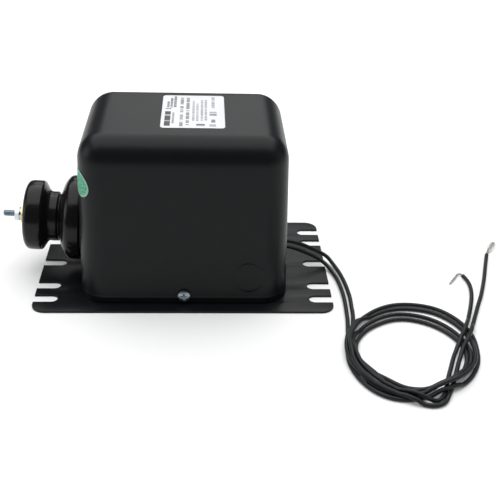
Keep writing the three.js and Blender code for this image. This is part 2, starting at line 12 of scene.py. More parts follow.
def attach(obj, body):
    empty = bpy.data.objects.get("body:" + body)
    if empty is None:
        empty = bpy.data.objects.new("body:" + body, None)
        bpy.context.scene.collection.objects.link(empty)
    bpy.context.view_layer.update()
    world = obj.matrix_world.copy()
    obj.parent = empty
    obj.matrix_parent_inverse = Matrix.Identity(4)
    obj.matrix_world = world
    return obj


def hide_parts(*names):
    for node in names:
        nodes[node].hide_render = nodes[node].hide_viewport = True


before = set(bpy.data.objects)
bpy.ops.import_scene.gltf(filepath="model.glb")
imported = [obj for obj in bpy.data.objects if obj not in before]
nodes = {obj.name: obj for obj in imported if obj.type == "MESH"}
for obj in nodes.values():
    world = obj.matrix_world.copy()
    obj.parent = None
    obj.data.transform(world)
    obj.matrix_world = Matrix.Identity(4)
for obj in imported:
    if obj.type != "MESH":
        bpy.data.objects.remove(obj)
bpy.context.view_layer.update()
MM = 0.001

# ---- camera ---------------------------------------------------------------------------------
# A long lens about 0.65 m from the can, looking down on it from in front, a little from
# the left and with the faint roll of a hand-levelled tripod.
LENS_MM = 63.83
CAMERA_PLACE = (0.013068, -0.556461, 0.333205)
CAMERA_PITCH, CAMERA_YAW, CAMERA_ROLL = 0.522, 0.0602, 0.0354


def put_in_scene(name, data):
    """A new object that holds the data, linked to the scene."""
    made = bpy.data.objects.new(name, data)
    bpy.context.scene.collection.objects.link(made)
    return made


camera_data = bpy.data.cameras.new("camera")
camera_data.lens = LENS_MM
camera_data.sensor_width = 36.0
camera = put_in_scene("camera", camera_data)
forward = Vector((
    math.sin(CAMERA_YAW) * math.cos(CAMERA_PITCH),
    math.cos(CAMERA_YAW) * math.cos(CAMERA_PITCH),
    -math.sin(CAMERA_PITCH),
))
level = Vector((math.cos(CAMERA_YAW), -math.sin(CAMERA_YAW), 0.0))
above = level.cross(forward)
right = level * math.cos(CAMERA_ROLL) + above * math.sin(CAMERA_ROLL)
up = above * math.cos(CAMERA_ROLL) - level * math.sin(CAMERA_ROLL)
camera.matrix_world = Matrix((
    (right.x, up.x, -forward.x, CAMERA_PLACE[0]),
    (right.y, up.y, -forward.y, CAMERA_PLACE[1]),
    (right.z, up.z, -forward.z, CAMERA_PLACE[2]),
    (0.0, 0.0, 0.0, 1.0),
))
bpy.context.scene.camera = camera

# ---- primary leads --------------------------------------------------------------------------
# Two 18 AWG stranded leads in 0.8 mm black thermoplastic, about a yard each. They come out of
# the snap bushing on the right wall, run forward, and lie in a loose coil of 2.7 turns.
LEAD_DIAMETER = 2.8
LEAD_GAP = 2.86  # from one centreline to the next where two stretches lie on each other
LEAD_STEP = 2.0
FLOOR_CENTRE = 1.45  # height of a centreline that lies on the floor
HUMP_RADIUS = 11.0  # no stretch rides over another more sharply than this
COIL_CENTRE = np.array([144.0, -106.0])

ENTRY = {
    "a": [
        (69.6, 1.2, 20.2), (73.8, 1.4, 19.4), (79, 1.8, 17.8), (84.5, 2.2, 15.2), (90, 2.7, 12.1),
        (95, 3.4, 9.3), (99.6, 3.7, 6.8), (104, 2.2, 4.2), (107.8, -3, 2.3), (110.4, -10.5, 1.6),
        (112.2, -20, 1.45), (113.5, -32, 1.45), (114.1, -45, 1.45), (113.6, -58, 1.45),
        (113, -68.5, 1.45),
    ],
    "b": [
        (69.6, -1.4, 17.2), (73.8, -1.6, 16.4), (79, -1.6, 14.5), (84, -1.4, 12), (89, -1.2, 9.4),
        (94, -1.2, 6.9), (98.5, -2.3, 4.7), (102.3, -5.3, 3), (105.3, -10.8, 1.9),
        (107.8, -19.5, 1.5), (109.2, -30, 1.45), (109.9, -42, 1.45), (109.8, -54, 1.45),
        (109.2, -65, 1.45), (108.6, -74, 1.45),
    ],
}
# the last half turn: over the near left side, a lobe on the floor, under the near right side,
# then up over the right side to the tails
CROSSING = {
    "a": [
        (108, -116), (109.6, -125), (114, -133), (120.7, -140.8), (127.8, -147.3), (134.5, -151.8),
        (141.5, -155.2), (148.2, -156.9), (153.2, -154.2), (156.9, -148), (160.4, -138.2),
        (165.6, -125.2), (171, -112), (177.3, -99.6), (183.6, -87.3),
    ],
    "b": [
        (105.2, -118), (106.6, -128.5), (110.6, -136.8), (116.5, -143.8), (123.5, -150),
        (130.5, -154.3), (136.5, -157.4), (142, -159.8), (147.8, -160.8), (153.8, -158.4),
        (159, -150.2), (163.8, -139.6), (168.2, -129), (173.2, -116.6), (178.4, -105.6),
        (184.6, -95), (187.9, -88),
    ],
}
TAIL = {
    "a": [
        (187.6, -78.5), (190.2, -72), (193.6, -63), (196.8, -54), (199.6, -45), (201.6, -36),
        (202.4, -28), (201.9, -21), (200.6, -16.5),
    ],
    "b": [
        (190.6, -81.5), (193.6, -74), (197.6, -64.5), (202, -54), (206.6, -43.5), (211.4, -31),
        (216, -18), (220.6, -4), (224.6, 8), (226.6, 14),
    ],
}
# outline of the coil's bundle about its centre: degrees round, outer and inner radius
BUNDLE_OUTER = [
    (0, 42.6), (30, 48.6), (60, 54), (90, 51.4), (120, 43.4), (150, 39.8), (180, 40.5),
    (210, 45), (240, 52), (255, 52), (270, 46.8), (285, 44), (300, 43.8), (330, 42.2),
]
BUNDLE_INNER = [
    (0, 35), (30, 33.4), (60, 33.4), (90, 34), (120, 31.6), (150, 32.2), (180, 34.2),
    (205, 36.4), (225, 34.2), (240, 36), (255, 40.4), (270, 39.9), (290, 38.5), (315, 36.5),
    (330, 35.8),
]
# place across the bundle, 0 inside and 1 outside, against the degrees gone round
ACROSS = {
    "a": [
        (180, 0.42), (205, 0.2), (235, 0), (500, 0), (540, 0.05), (575, 0.2), (610, 0.28),
        (660, 0.3), (715, 0.36), (750, 0.3), (780, 0.3), (810, 0.34), (840, 0.4), (900, 0.38),
    ],
    "b": [
        (180, 0.8), (205, 1), (540, 1), (575, 0.82), (610, 0.7), (660, 0.72), (715, 0.72),
        (750, 0.75), (780, 0.72), (810, 0.68), (840, 0.76), (865, 0.72), (900, 0.68),
    ],
}
TURN_START, TURN_END, TURN_STEP = 180, 897, 6.0
# the order that stretches were laid down in: under everything, the loop by its degrees, on top
LAID_FIRST, LAID_LAST, LEAD_B_LATER = -1000, 1500, 30
UNDER_FROM_X, UNDER_TO_Y, OVER_FROM_X = 150, {"a": -112, "b": -117}, 165
LIES_BELOW = 2.4  # a stretch planned higher than this is still coming down from the can
NEAR_ALONG = 12  # stretches of one lead closer than this along it don't rest on each other
SETTLING_ROUNDS = 40


def weights(count, sigma):
    """Bell-shaped weights that add up to one."""
    bell = np.exp(-0.5 * (np.arange(-count, count + 1) / sigma) ** 2)
    return bell / bell.sum()


def bundle_radius(table, degrees):
    """Radius read off a table that repeats every turn, blurred over seven degrees."""
    around, radius = np.array(table, float).T
    around = np.concatenate([around - 360, around, around + 360])
    fine = np.interp(np.arange(-360.0, 720.0), around, np.tile(radius, 3))
    fine = np.convolve(fine, weights(25, 7.0), "same")
    return np.interp(np.mod(degrees, 360), np.arange(361.0), fine[360:721])


def smooth_route(points, step, fine=60):
    """Centripetal Catmull-Rom curve through the points, cut into even steps. Each span blends
    its four nearest points by the square roots of the distances between them."""
    p = np.asarray(points, float)
    p = np.vstack([2 * p[0] - p[1], p, 2 * p[-1] - p[-2]])
    knot = np.r_[0, np.cumsum(np.sqrt(np.linalg.norm(np.diff(p, axis=0), axis=1)))]
    t0, t1, t2, t3 = (knot[k:len(knot) - 3 + k, None, None] for k in range(4))
    p0, p1, p2, p3 = (p[k:len(p) - 3 + k, None, :] for k in range(4))
    t = t1 + (t2 - t1) * np.linspace(0, 1, fine, endpoint=False)[None, :, None]
    a1 = ((t1 - t) * p0 + (t - t0) * p1) / (t1 - t0)
    a2 = ((t2 - t) * p1 + (t - t1) * p2) / (t2 - t1)
    a3 = ((t3 - t) * p2 + (t - t2) * p3) / (t3 - t2)
    b1 = ((t2 - t) * a1 + (t - t0) * a2) / (t2 - t0)
    b2 = ((t3 - t) * a2 + (t - t1) * a3) / (t3 - t1)
    curve = ((t2 - t) * b1 + (t - t1) * b2) / (t2 - t1)
    curve = np.vstack([curve.reshape(-1, p.shape[1]), p[-2:-1]])
    run = np.r_[0, np.cumsum(np.linalg.norm(np.diff(curve, axis=0), axis=1))]
    even = np.linspace(0, run[-1], int(round(run[-1] / step)) + 1)
    return np.stack([np.interp(even, run, column) for column in curve.T], 1), even


def lead_plan(end):
    """A lead's route seen from above, its least height, and the order it was laid down in. Its
    place across the bundle is read off a table and blurred over two steps."""
    degrees = np.arange(TURN_START, TURN_END, TURN_STEP)
    place = np.interp(degrees, *np.array(ACROSS[end], float).T)
    place = np.convolve(np.pad(place, 4, "edge"), weights(4, 2.0), "valid")
    inner, outer = bundle_radius(BUNDLE_INNER, degrees), bundle_radius(BUNDLE_OUTER, degrees)
    radius = inner + (outer - inner) * place
    turn = np.radians(degrees)
    loop = COIL_CENTRE + radius[:, None] * np.stack([np.cos(turn), np.sin(turn)], 1)
    entry, crossing, tail = (np.array(part[end], float) for part in (ENTRY, CROSSING, TAIL))
    flat = np.vstack([entry[:, :2], loop, crossing, tail])
    height = np.full(len(flat), FLOOR_CENTRE)
    height[:len(entry)] = entry[:, 2]
    crossed = np.linspace(900, 1000, len(crossing))
    crossed[crossing[:, 0] > OVER_FROM_X] = LAID_LAST
    under = (crossing[:, 0] > UNDER_FROM_X) & (crossing[:, 1] < UNDER_TO_Y[end])
    crossed[under] = LAID_FIRST
    order = np.r_[
        np.linspace(100, 179, len(entry)), degrees, crossed, np.linspace(1001, 1100, len(tail))
    ]
    return np.c_[flat, height], order + (LEAD_B_LATER if end == "b" else 0)


def lay_leads():
    """Heights of both leads. A point rests on the floor or on whatever was laid there before
    it, and is never lower than a parabola from its neighbours' heights."""
    flat, least, order, run, which = [], [], [], [], []
    for number, end in enumerate("ab"):
        plan, laid = lead_plan(end)
        route, along = smooth_route(plan, LEAD_STEP)
        gone = np.r_[0, np.cumsum(np.linalg.norm(np.diff(plan[:, :2], axis=0), axis=1))]
        gone *= along[-1] / gone[-1]
        nearest = np.abs(along[:, None] - gone[None]).argmin(1)
        flat.append(route[:, :2])
        least.append(route[:, 2])
        order.append(laid[nearest])
        run.append(along)
        which.append(np.full(len(along), number))
    flat, least, order, run, which = (np.concatenate(x) for x in (flat, least, order, run, which))
    apart = ((flat[:, None] - flat[None]) ** 2).sum(-1)
    same_lead = which[:, None] == which[None]
    gone = np.abs(run[:, None] - run[None])
    down = least < LIES_BELOW
    rests = (apart < LEAD_GAP ** 2) & (order[None] < order[:, None])
    rests &= ~(same_lead & (gone < NEAR_ALONG)) & down[:, None] & down[None]
    lift = np.sqrt(np.maximum(LEAD_GAP ** 2 - apart, 0))
    drop = np.where(same_lead, gone, 1e3) ** 2 / (2 * HUMP_RADIUS)
    height = least.copy()
    for _ in range(SETTLING_ROUNDS):
        carried = np.maximum(least, np.where(rests, height[None] + lift, -1e3).max(1))
        settled = (carried[None] - drop).max(1)
        if np.abs(settled - height).max() < 1e-4:
            break
        height = settled
    return [np.c_[flat[which == k], np.maximum(height[which == k], 0)] for k in (0, 1)]


def once_round(count):
    """Evenly spaced angles over one turn."""
    return np.linspace(0, 2 * np.pi, count, endpoint=False)


def tube_grid(route, radius, sides=14):
    """Rings of points round a route, square to it, with both ends drawn in to a point. The
    ring's first direction is level and its second is the cross product with the route."""
    ahead = np.gradient(route, axis=0)
    ahead /= np.linalg.norm(ahead, axis=1, keepdims=True)
    across = np.cross(ahead, [0.0, 0.0, 1.0])
    across /= np.linalg.norm(across, axis=1, keepdims=True)
    over = np.cross(across, ahead)
    turn = once_round(sides)[None, :, None]
    ring = across[:, None] * np.cos(turn) + over[:, None] * np.sin(turn)
    size = np.broadcast_to(np.asarray(radius, float), (len(route),))[:, None, None]
    rings = route[:, None] + ring * size
    ends = [np.repeat(route[k][None, None], sides, axis=1) for k in (0, -1)]
    return np.concatenate([ends[0], rings, ends[1]])


def skin_mesh(name, grids, wrap_rows=False, wrap_columns=True):
    """A mesh from one or more grids of points in millimetres, [row, column, xyz]. Each point
    joins the next in its row and in its column, and wrapping joins the last to the first."""
    points, faces, start = [], [], 0
    for grid in grids:
        rows, columns = grid.shape[:2]
        index = start + np.arange(rows * columns).reshape(rows, columns)
        index = np.vstack([index, index[:1]]) if wrap_rows else index
        index = np.hstack([index, index[:, :1]]) if wrap_columns else index
        corners = [index[:-1, :-1], index[:-1, 1:], index[1:, 1:], index[1:, :-1]]
        faces.append(np.stack(corners, -1).reshape(-1, 4))
        points.append(grid.reshape(-1, 3))
        start += rows * columns
    mesh = bpy.data.meshes.new(name)
    mesh.from_pydata((np.concatenate(points) * MM).tolist(), [], np.concatenate(faces).tolist())
    return mesh


def close_and_smooth(mesh, crease=38):
    """Merges the doubled points at seams and poles, turns the faces outwards, and shades the
    mesh smooth except where it bends by more than the crease angle."""
    work = bmesh.new()
    work.from_mesh(mesh)
    bmesh.ops.remove_doubles(work, verts=work.verts, dist=2e-7)
    bmesh.ops.recalc_face_normals(work, faces=work.faces)
    work.to_mesh(mesh)
    work.free()
    mesh.polygons.foreach_set("use_smooth", np.ones(len(mesh.polygons), bool))
    mesh.set_sharp_from_angle(angle=math.radians(crease))
    mesh.update()


def place_piece(name, mesh, finish, slot, *stands_for, body="transformer"):
    """Puts a finished mesh into the scene as a piece that rides on a body."""
    piece = put_in_scene(name, mesh)
    mesh.materials.append(finish)
    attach(piece, body)
    if stands_for:
        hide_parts(*stands_for)
    return piece


def add_skin(name, grids, finish, slot, *stands_for, body="transformer", crease=38,
             wrap_rows=False):
    """A piece made of grids of points: skinned, closed, smoothed and placed."""
    mesh = skin_mesh(name, grids, wrap_rows)
    close_and_smooth(mesh, crease)
    return place_piece(name, mesh, finish, slot, *stands_for, body=body)


def add_node(tree, kind, inputs=None, **settings):
    """One shader node with its settings; inputs are values, or sockets to join to."""
    made = tree.nodes.new(kind)
    for key, value in settings.items():
        setattr(made, key, value)
    for key, value in (inputs or {}).items():
        if isinstance(value, bpy.types.NodeSocket):
            tree.links.new(value, made.inputs[key])
        else:
            made.inputs[key].default_value = value
    return made


def mixed(tree, mask, first, second):
    """A colour that goes from the first to the second as the mask goes from 0 to 1."""
    return add_node(tree, "ShaderNodeMix", {0: mask, 6: first, 7: second},
                    data_type="RGBA").outputs[2]


def new_group(name, inputs, outputs):
    """An empty shader group with its sockets, V for a vector and F for a number."""
    kinds = {"V": "NodeSocketVector", "F": "NodeSocketFloat"}
    group = bpy.data.node_groups.new(name, "ShaderNodeTree")
    for way, sockets in (("INPUT", inputs), ("OUTPUT", outputs)):
        for label, kind in sockets:
            group.interface.new_socket(label, in_out=way, socket_type=kinds[kind])
    return group, group.nodes.new("NodeGroupInput").outputs


def grain_group():
    """Shared surface grain. Cloud is slow variation, Fine is grit, Specks are sparse dust and
    Normal carries the grit's relief. Scale is in features per metre."""
    group, given = new_group(
        "surface_grain", [("Vector", "V"), ("Scale", "F"), ("Relief", "F"), ("Depth", "F")],
        [("Cloud", "F"), ("Fine", "F"), ("Specks", "F"), ("Normal", "V")])
    slow = add_node(group, "ShaderNodeMath", {0: given["Scale"], 1: 0.06}, operation="MULTIPLY")
    cloud = add_node(group, "ShaderNodeTexNoise",
                     {"Vector": given["Vector"], "Scale": slow.outputs[0], "Detail": 4.0})
    fine = add_node(group, "ShaderNodeTexNoise",
                    {"Vector": given["Vector"], "Scale": given["Scale"], "Detail": 3.0})
    dust = add_node(group, "ShaderNodeTexVoronoi",
                    {"Vector": given["Vector"], "Scale": given["Scale"]}, feature="F1")
    specks = add_node(group, "ShaderNodeMapRange",
                      {"Value": dust.outputs["Distance"], "From Min": 0.1, "From Max": 0.04})
    rare = add_node(group, "ShaderNodeMath", {0: cloud.outputs["Fac"], 1: 0.56},
                    operation="GREATER_THAN")
    sparse = add_node(group, "ShaderNodeMath", {0: specks.outputs[0], 1: rare.outputs[0]},
                      operation="MULTIPLY")
    relief = add_node(group, "ShaderNodeBump", {
        "Strength": given["Relief"], "Distance": given["Depth"], "Height": fine.outputs["Fac"]})
    add_node(group, "NodeGroupOutput", {
        "Cloud": cloud.outputs["Fac"], "Fine": fine.outputs["Fac"],
        "Specks": sparse.outputs[0], "Normal": relief.outputs[0]})
    return group


surface_grain = grain_group()


def grained_finish(name, colour, other, rough, metal=0.0, scale=900.0, relief=0.2,
                   depth=0.0001, specular=0.5, dust=None):
    """A finish whose colour drifts between two tones with the grain's cloud, and whose
    roughness runs between two values with its grit. Returns the material and its parts."""
    material = bpy.data.materials.new(name)
    material.use_nodes = True
    tree = material.node_tree
    shader = tree.nodes["Principled BSDF"]
    place = add_node(tree, "ShaderNodeTexCoord").outputs["Object"]
    grain = add_node(tree, "ShaderNodeGroup", {
        "Vector": place, "Scale": scale, "Relief": relief, "Depth": depth},
        node_tree=surface_grain)
    shown = mixed(tree, grain.outputs["Cloud"], (*colour, 1), (*other, 1))
    if dust:
        shown = mixed(tree, grain.outputs["Specks"], shown, (*dust, 1))
    gloss = add_node(tree, "ShaderNodeMapRange", {
        "Value": grain.outputs["Fine"], "From Min": 0.3, "From Max": 0.7,
        "To Min": rough[0], "To Max": rough[1]})
    tree.links.new(shown, shader.inputs["Base Color"])
    tree.links.new(gloss.outputs[0], shader.inputs["Roughness"])
    tree.links.new(grain.outputs["Normal"], shader.inputs["Normal"])
    shader.inputs["Metallic"].default_value = metal
    shader.inputs["Specular IOR Level"].default_value = specular
    return material, tree, shader, place, grain, shown


lead_finish = grained_finish("lead_insulation", (0.007, 0.008, 0.0092), (0.013, 0.0147, 0.0165),
                             (0.34, 0.48), scale=1400, relief=0.12, specular=0.26)[0]
lead_routes = lay_leads()
for end, route, stands_for in (
    ("a", lead_routes[0], ("primary_lead_a", "primary_lead_a_tail", "lead_coil")),
    ("b", lead_routes[1], ("primary_lead_b", "primary_lead_b_tail")),
):
    add_skin(
        "lead_" + end, [tube_grid(route, LEAD_DIAMETER / 2)], lead_finish, "black_lead",
        *stands_for, crease=60)

# ---- bare lead ends -------------------------------------------------------------------------
# Sixteen tinned copper strands at the end of each lead, where the insulation is stripped.
# They lie side by side in a long twist and splay a little towards their tips.
STRIPPED = {
    "a": [(200.9, -17.4, 1.45), (200.3, -15.6, 1.45), (199.3, -14, 1.4), (197.8, -14, 1.3),
          (196, -16.2, 1.15), (192.6, -21.2, 0.95), (188.6, -26.8, 0.8)],
    "b": [(226.2, 13, 1.45), (227.2, 15.6, 1.45), (229.6, 20.2, 1.4), (233.2, 26.6, 1.3),
          (238, 33.8, 1.15)],
}
STRAND_RADIUS, STRAND_STEP, TWIST_LENGTH = 0.13, 0.8, 16.0
STRAND_FLATNESS = 0.8  # the bundle's height over its width
MIDDLE_RING, OUTER_RING = (5, 0.27), (10, 0.53)  # strands and radius, round a single strand
SPLAY = {"a": 0.5, "b": 5.0}
STRAND_SEED = {"a": 5, "b": 6}


def strand_grids(points, bulge, seed):
    """Every strand follows the lead's line on its own helix. Its distance from the line swells
    and closes again as half a sine wave, by its own share of the bulge."""
    line, along = smooth_route(points, STRAND_STEP)
    draw = np.random.default_rng(seed)
    ring = np.r_[np.zeros(1), np.full(*MIDDLE_RING), np.full(*OUTER_RING)]
    start = np.r_[0, np.arange(5) * 2 * np.pi / 5, np.arange(10) * 2 * np.pi / 10]
    wave = np.sin(np.pi * (along / along[-1]) ** 1.5)[None]
    splay = 1 + bulge * draw.uniform(0.1, 1.0, len(ring))[:, None] * wave
    angle = start[:, None] + 2 * np.pi * along[None] / TWIST_LENGTH / (1 + 0.5 * bulge)
    ahead = np.gradient(line, axis=0)
    ahead /= np.linalg.norm(ahead, axis=1, keepdims=True)
    across = np.cross(ahead, [0.0, 0.0, 1.0])
    over = np.cross(across, ahead)
    away = ring[:, None] * splay
    routes = (line[None] + across[None] * (away * np.cos(angle))[..., None]
              + over[None] * (away * np.sin(angle) * STRAND_FLATNESS)[..., None])
    routes[..., 2] = np.maximum(routes[..., 2], STRAND_RADIUS + 0.02)
    short = draw.integers(0, 3, len(ring))
    return [tube_grid(route[:len(route) - cut], STRAND_RADIUS, 6)
            for route, cut in zip(routes, short)]


strand_finish = grained_finish("tinned_strands", (0.46, 0.45, 0.42), (0.64, 0.63, 0.6),
                               (0.25, 0.42), metal=1.0, scale=2500, relief=0.15)[0]
for end in "ab":
    add_skin(
        "bare_strands_" + end, strand_grids(STRIPPED[end], SPLAY[end], STRAND_SEED[end]),
        strand_finish, "tinned_copper", f"lead_{end}_strands", crease=60)

# ---- floor and studio light -----------------------------------------------------------------
# A wide pale table top, one big soft box over and behind the object, a strip on each side for
# the upright corners, and a dim room.
FLOOR_HALF = 4000.0
floor_mesh = skin_mesh("studio_floor", [FLOOR_HALF * np.array([
    [(-1, -1, 0), (1, -1, 0)], [(-1, 1, 0), (1, 1, 0)]], float)], wrap_columns=False)
floor = put_in_scene("studio_floor", floor_mesh)
floor_finish, _, floor_shader, *_ = grained_finish(
    "table_top", (0.86, 0.86, 0.86), (0.88, 0.88, 0.88), (0.75, 0.9), scale=40, relief=0.0,
    specular=0.1)
floor_shader.inputs["Emission Color"].default_value = (1, 1, 1, 1)
floor_shader.inputs["Emission Strength"].default_value = 0.12
floor_mesh.materials.append(floor_finish)


def soft_box(name, place, aim, size, power):
    """A rectangular area light at a place, turned to face the aim."""
    lamp = bpy.data.lights.new(name, "AREA")
    lamp.shape = "RECTANGLE"
    lamp.size, lamp.size_y = size
    lamp.energy = power
    lit = put_in_scene(name, lamp)
    lit.location = place
    lit.rotation_euler = (Vector(aim) - Vector(place)).to_track_quat("-Z", "Y").to_euler()


soft_box("overhead_box", (0.0, 0.35, 1.25), (0.0, 0.35, 0.0), (2.4, 2.0), 36)
soft_box("back_box", (0.1, 1.75, 1.15), (0.02, 0.0, 0.1), (1.1, 1.1), 5)
soft_box("left_strip", (-1.3, -0.1, 0.45), (0, 0, 0.05), (0.7, 0.7), 3.0)
soft_box("right_strip", (1.35, -0.3, 0.45), (0.05, 0, 0.05), (0.7, 0.7), 0.8)
ROOM_LIGHT, ROOM_BACKDROP = 0.08, 0.85  # what the room gives, and how bright it looks
room = bpy.data.worlds.new("room")
room.use_nodes = True
backdrop = room.node_tree.nodes["Background"]
backdrop.inputs["Color"].default_value = (0.92, 0.96, 1.0, 1)
seen = add_node(room.node_tree, "ShaderNodeLightPath").outputs["Is Camera Ray"]
shine = add_node(room.node_tree, "ShaderNodeMapRange",
                 {"Value": seen, "To Min": ROOM_LIGHT, "To Max": ROOM_BACKDROP})
room.node_tree.links.new(shine.outputs[0], backdrop.inputs["Strength"])
bpy.context.scene.world = room
bpy.context.scene.view_settings.view_transform = "Standard"

# ---- can ------------------------------------------------------------------------------------
# Deep-drawn sheet steel in satin black, open below, with a rolled bead at the foot, a scored
# knockout in the front and rear walls, and holes for the bushing and the leads.
CAN_LENGTH, CAN_DEPTH, CAN_TOP, CAN_FOOT = 140.5, 107.9, 117.9, 1.7
CAN_CORNER, CAN_CROWN, CAN_WALL, CAN_LEAN = 18.0, 17.6, 1.2, 0.0269
KNOCKOUT_X, KNOCKOUT_Z, KNOCKOUT_RADIUS = 43.4, 21.9, 11.0
SCORE_DEPTH, SCORE_WIDTH, SCORE_STEP = 0.38, 0.5, 0.5
FINE_REACH = 14  # how far to the left of a knockout's middle the finer steps begin
BEAD_Z, BEAD_HEIGHT, BEAD_WIDTH = 6.2, 0.22, 0.8
BUSHING_Z, BUSHING_TILT = 38.2, math.radians(3.5)
BUSHING_HOLE_RADIUS = 15.0
LEAD_HOLE_Z, LEAD_HOLE_RADIUS = 18.6, 6.5


def lean_in(points, from_z=1.5):
    """Draws the can's outline in as it rises, each wall by the lean times its height."""
    lean = CAN_LEAN * (points[..., 2] - from_z)
    factors = np.stack([1 - lean / (CAN_LENGTH / 2), 1 - lean / (CAN_DEPTH / 2),
                        np.ones_like(lean)], -1)
    return points * factors


def can_outline():
    """Corner centres and outward directions round the can's plan: straight runs with finer
    steps near the knockouts, and quarter turns at the corners. Starts at the front left."""
    half_x, half_y = CAN_LENGTH / 2 - CAN_CORNER, CAN_DEPTH / 2 - CAN_CORNER
    near = np.arange(KNOCKOUT_X - FINE_REACH, half_x - 0.2, SCORE_STEP)
    front = np.r_[np.linspace(-half_x, KNOCKOUT_X - FINE_REACH - 2, 24), near]
    side = np.linspace(-half_y, half_y, 22, endpoint=False)
    bend = np.linspace(0, np.pi / 2, 14, endpoint=False)
    runs = [
        (front, -half_y, -np.pi / 2), (half_x, -half_y, bend - np.pi / 2),
        (half_x, side, 0.0), (half_x, half_y, bend),
        (front[::-1], half_y, np.pi / 2), (-half_x, half_y, bend + np.pi / 2),
        (-half_x, -side, np.pi), (-half_x, -half_y, bend + np.pi),
    ]
    x, y, angle = np.concatenate([np.stack(np.broadcast_arrays(*run)) for run in runs], 1)
    return np.stack([x, y], 1), np.stack([np.cos(angle), np.sin(angle)], 1)


def can_grid(inset, centres, outward, wall_z, scored=True):
    """Rows from the foot up the wall, round the crown and across the top to its middle. A
    point stands off its corner centre by the corner radius; the crown is a quarter circle."""
    crown = CAN_CROWN - inset
    roll = np.linspace(0, np.pi / 2, 15)[1:]
    spring = CAN_TOP - CAN_CROWN
    reach = np.r_[np.full(len(wall_z), CAN_CORNER - inset),
                  CAN_CORNER - CAN_CROWN + crown * np.cos(roll)]
    height = np.r_[wall_z, spring + crown * np.sin(roll)]
    flat = centres[None] + outward[None] * reach[:, None, None]
    grid = np.concatenate([flat, np.broadcast_to(height[:, None, None], flat.shape[:2] + (1,))], 2)
    middle = np.linspace(1, 0, 12)[1:, None, None]
    top = np.concatenate([grid[-1:, :, :2] * middle,
                          np.full((11, len(centres), 1), height[-1])], 2)
    grid = np.concatenate([grid, top])
    if scored:
        x, z = grid[..., 0], grid[..., 2]
        from_middle = np.hypot(x - KNOCKOUT_X, z - KNOCKOUT_Z)
        on_face = np.abs(outward[None, :, 1]) > 0.99
        score = -SCORE_DEPTH * np.exp(-((from_middle - KNOCKOUT_RADIUS) / SCORE_WIDTH) ** 2)
        bead = BEAD_HEIGHT * np.exp(-((z - BEAD_Z) / BEAD_WIDTH) ** 2)
        stand = np.where(on_face, score, 0) + bead
        grid[..., :2] += outward[None] * stand[..., None]
    return lean_in(grid)


def bushing_point(radius, along, turn):
    """A point by its distance from the bushing's axis, its distance out from the wall, and
    its angle round the axis, which leans up out of the left wall."""
    wall_x = -(CAN_LENGTH / 2 - CAN_LEAN * (BUSHING_Z - 1.5))
    sine, cosine = math.sin(BUSHING_TILT), math.cos(BUSHING_TILT)
    radius, along, turn = np.broadcast_arrays(radius, along, turn)
    return np.stack([
        wall_x - along * cosine + radius * np.cos(turn) * sine,
        radius * np.sin(turn),
        BUSHING_Z + along * sine + radius * np.cos(turn) * cosine,
    ], -1)


def modified_mesh(piece):
    """A new mesh of the piece as its modifiers or its curve's settings leave it."""
    bpy.context.view_layer.update()
    return bpy.data.meshes.new_from_object(
        piece.evaluated_get(bpy.context.evaluated_depsgraph_get()))


def cut_hole(piece, name, grid):
    """Cuts a closed solid of the grid's shape out of a piece."""
    mesh = skin_mesh(name, [grid])
    close_and_smooth(mesh)
    tool = put_in_scene(name, mesh)
    cutter = piece.modifiers.new(name, "BOOLEAN")
    cutter.operation, cutter.solver, cutter.object = "DIFFERENCE", "EXACT", tool
    shape = modified_mesh(piece)
    piece.modifiers.clear()
    old, piece.data = piece.data, shape
    bpy.data.meshes.remove(old)
    bpy.data.objects.remove(tool)
    bpy.data.meshes.remove(mesh)


def rod_grid(point, low, high, radius, sides=48):
    """A plain rod along an axis given by a function of radius, distance and angle."""
    turn = once_round(sides)[None]
    size = np.array([0, radius, radius, 0])[:, None]
    return point(size, np.array([low, low, high, high])[:, None], turn)


def lead_hole_point(radius, along, turn):
    """A point round the lead hole's axis, which runs along x through the right wall."""
    wall_x = CAN_LENGTH / 2 - CAN_LEAN * (LEAD_HOLE_Z - 1.5)
    radius, along, turn = np.broadcast_arrays(radius, along, turn)
    return np.stack(
        [wall_x + along, radius * np.sin(turn), LEAD_HOLE_Z + radius * np.cos(turn)], -1)


can_finish = grained_finish("satin_black_paint", (0.0045, 0.005, 0.006), (0.0062, 0.007, 0.0084),
                            (0.3, 0.4), scale=1500, relief=0.14, depth=0.00008,
                            specular=0.18, dust=(0.03, 0.03, 0.03))[0]
wall_rows = np.unique(np.round(np.r_[
    CAN_FOOT, np.arange(2.2, 9.0, 0.45), np.arange(9.0, 35.2, SCORE_STEP),
    np.linspace(36, CAN_TOP - CAN_CROWN, 26)], 3))
centres, outward = can_outline()
outer_skin = can_grid(0.0, centres, outward, wall_rows)
inner_skin = can_grid(CAN_WALL, centres, outward, wall_rows, scored=False)
can = add_skin("can", [np.concatenate([outer_skin, inner_skin[::-1]])], can_finish,
               "black_paint", "case_shell", "front_knockout", "rear_knockout", wrap_rows=True)
cut_hole(can, "bushing_hole", rod_grid(bushing_point, -15, 15, BUSHING_HOLE_RADIUS))
cut_hole(can, "lead_hole", rod_grid(lead_hole_point, -10, 10, LEAD_HOLE_RADIUS))
can.data.polygons.foreach_set("use_smooth", np.ones(len(can.data.polygons), bool))
can.data.set_sharp_from_angle(angle=math.radians(38))

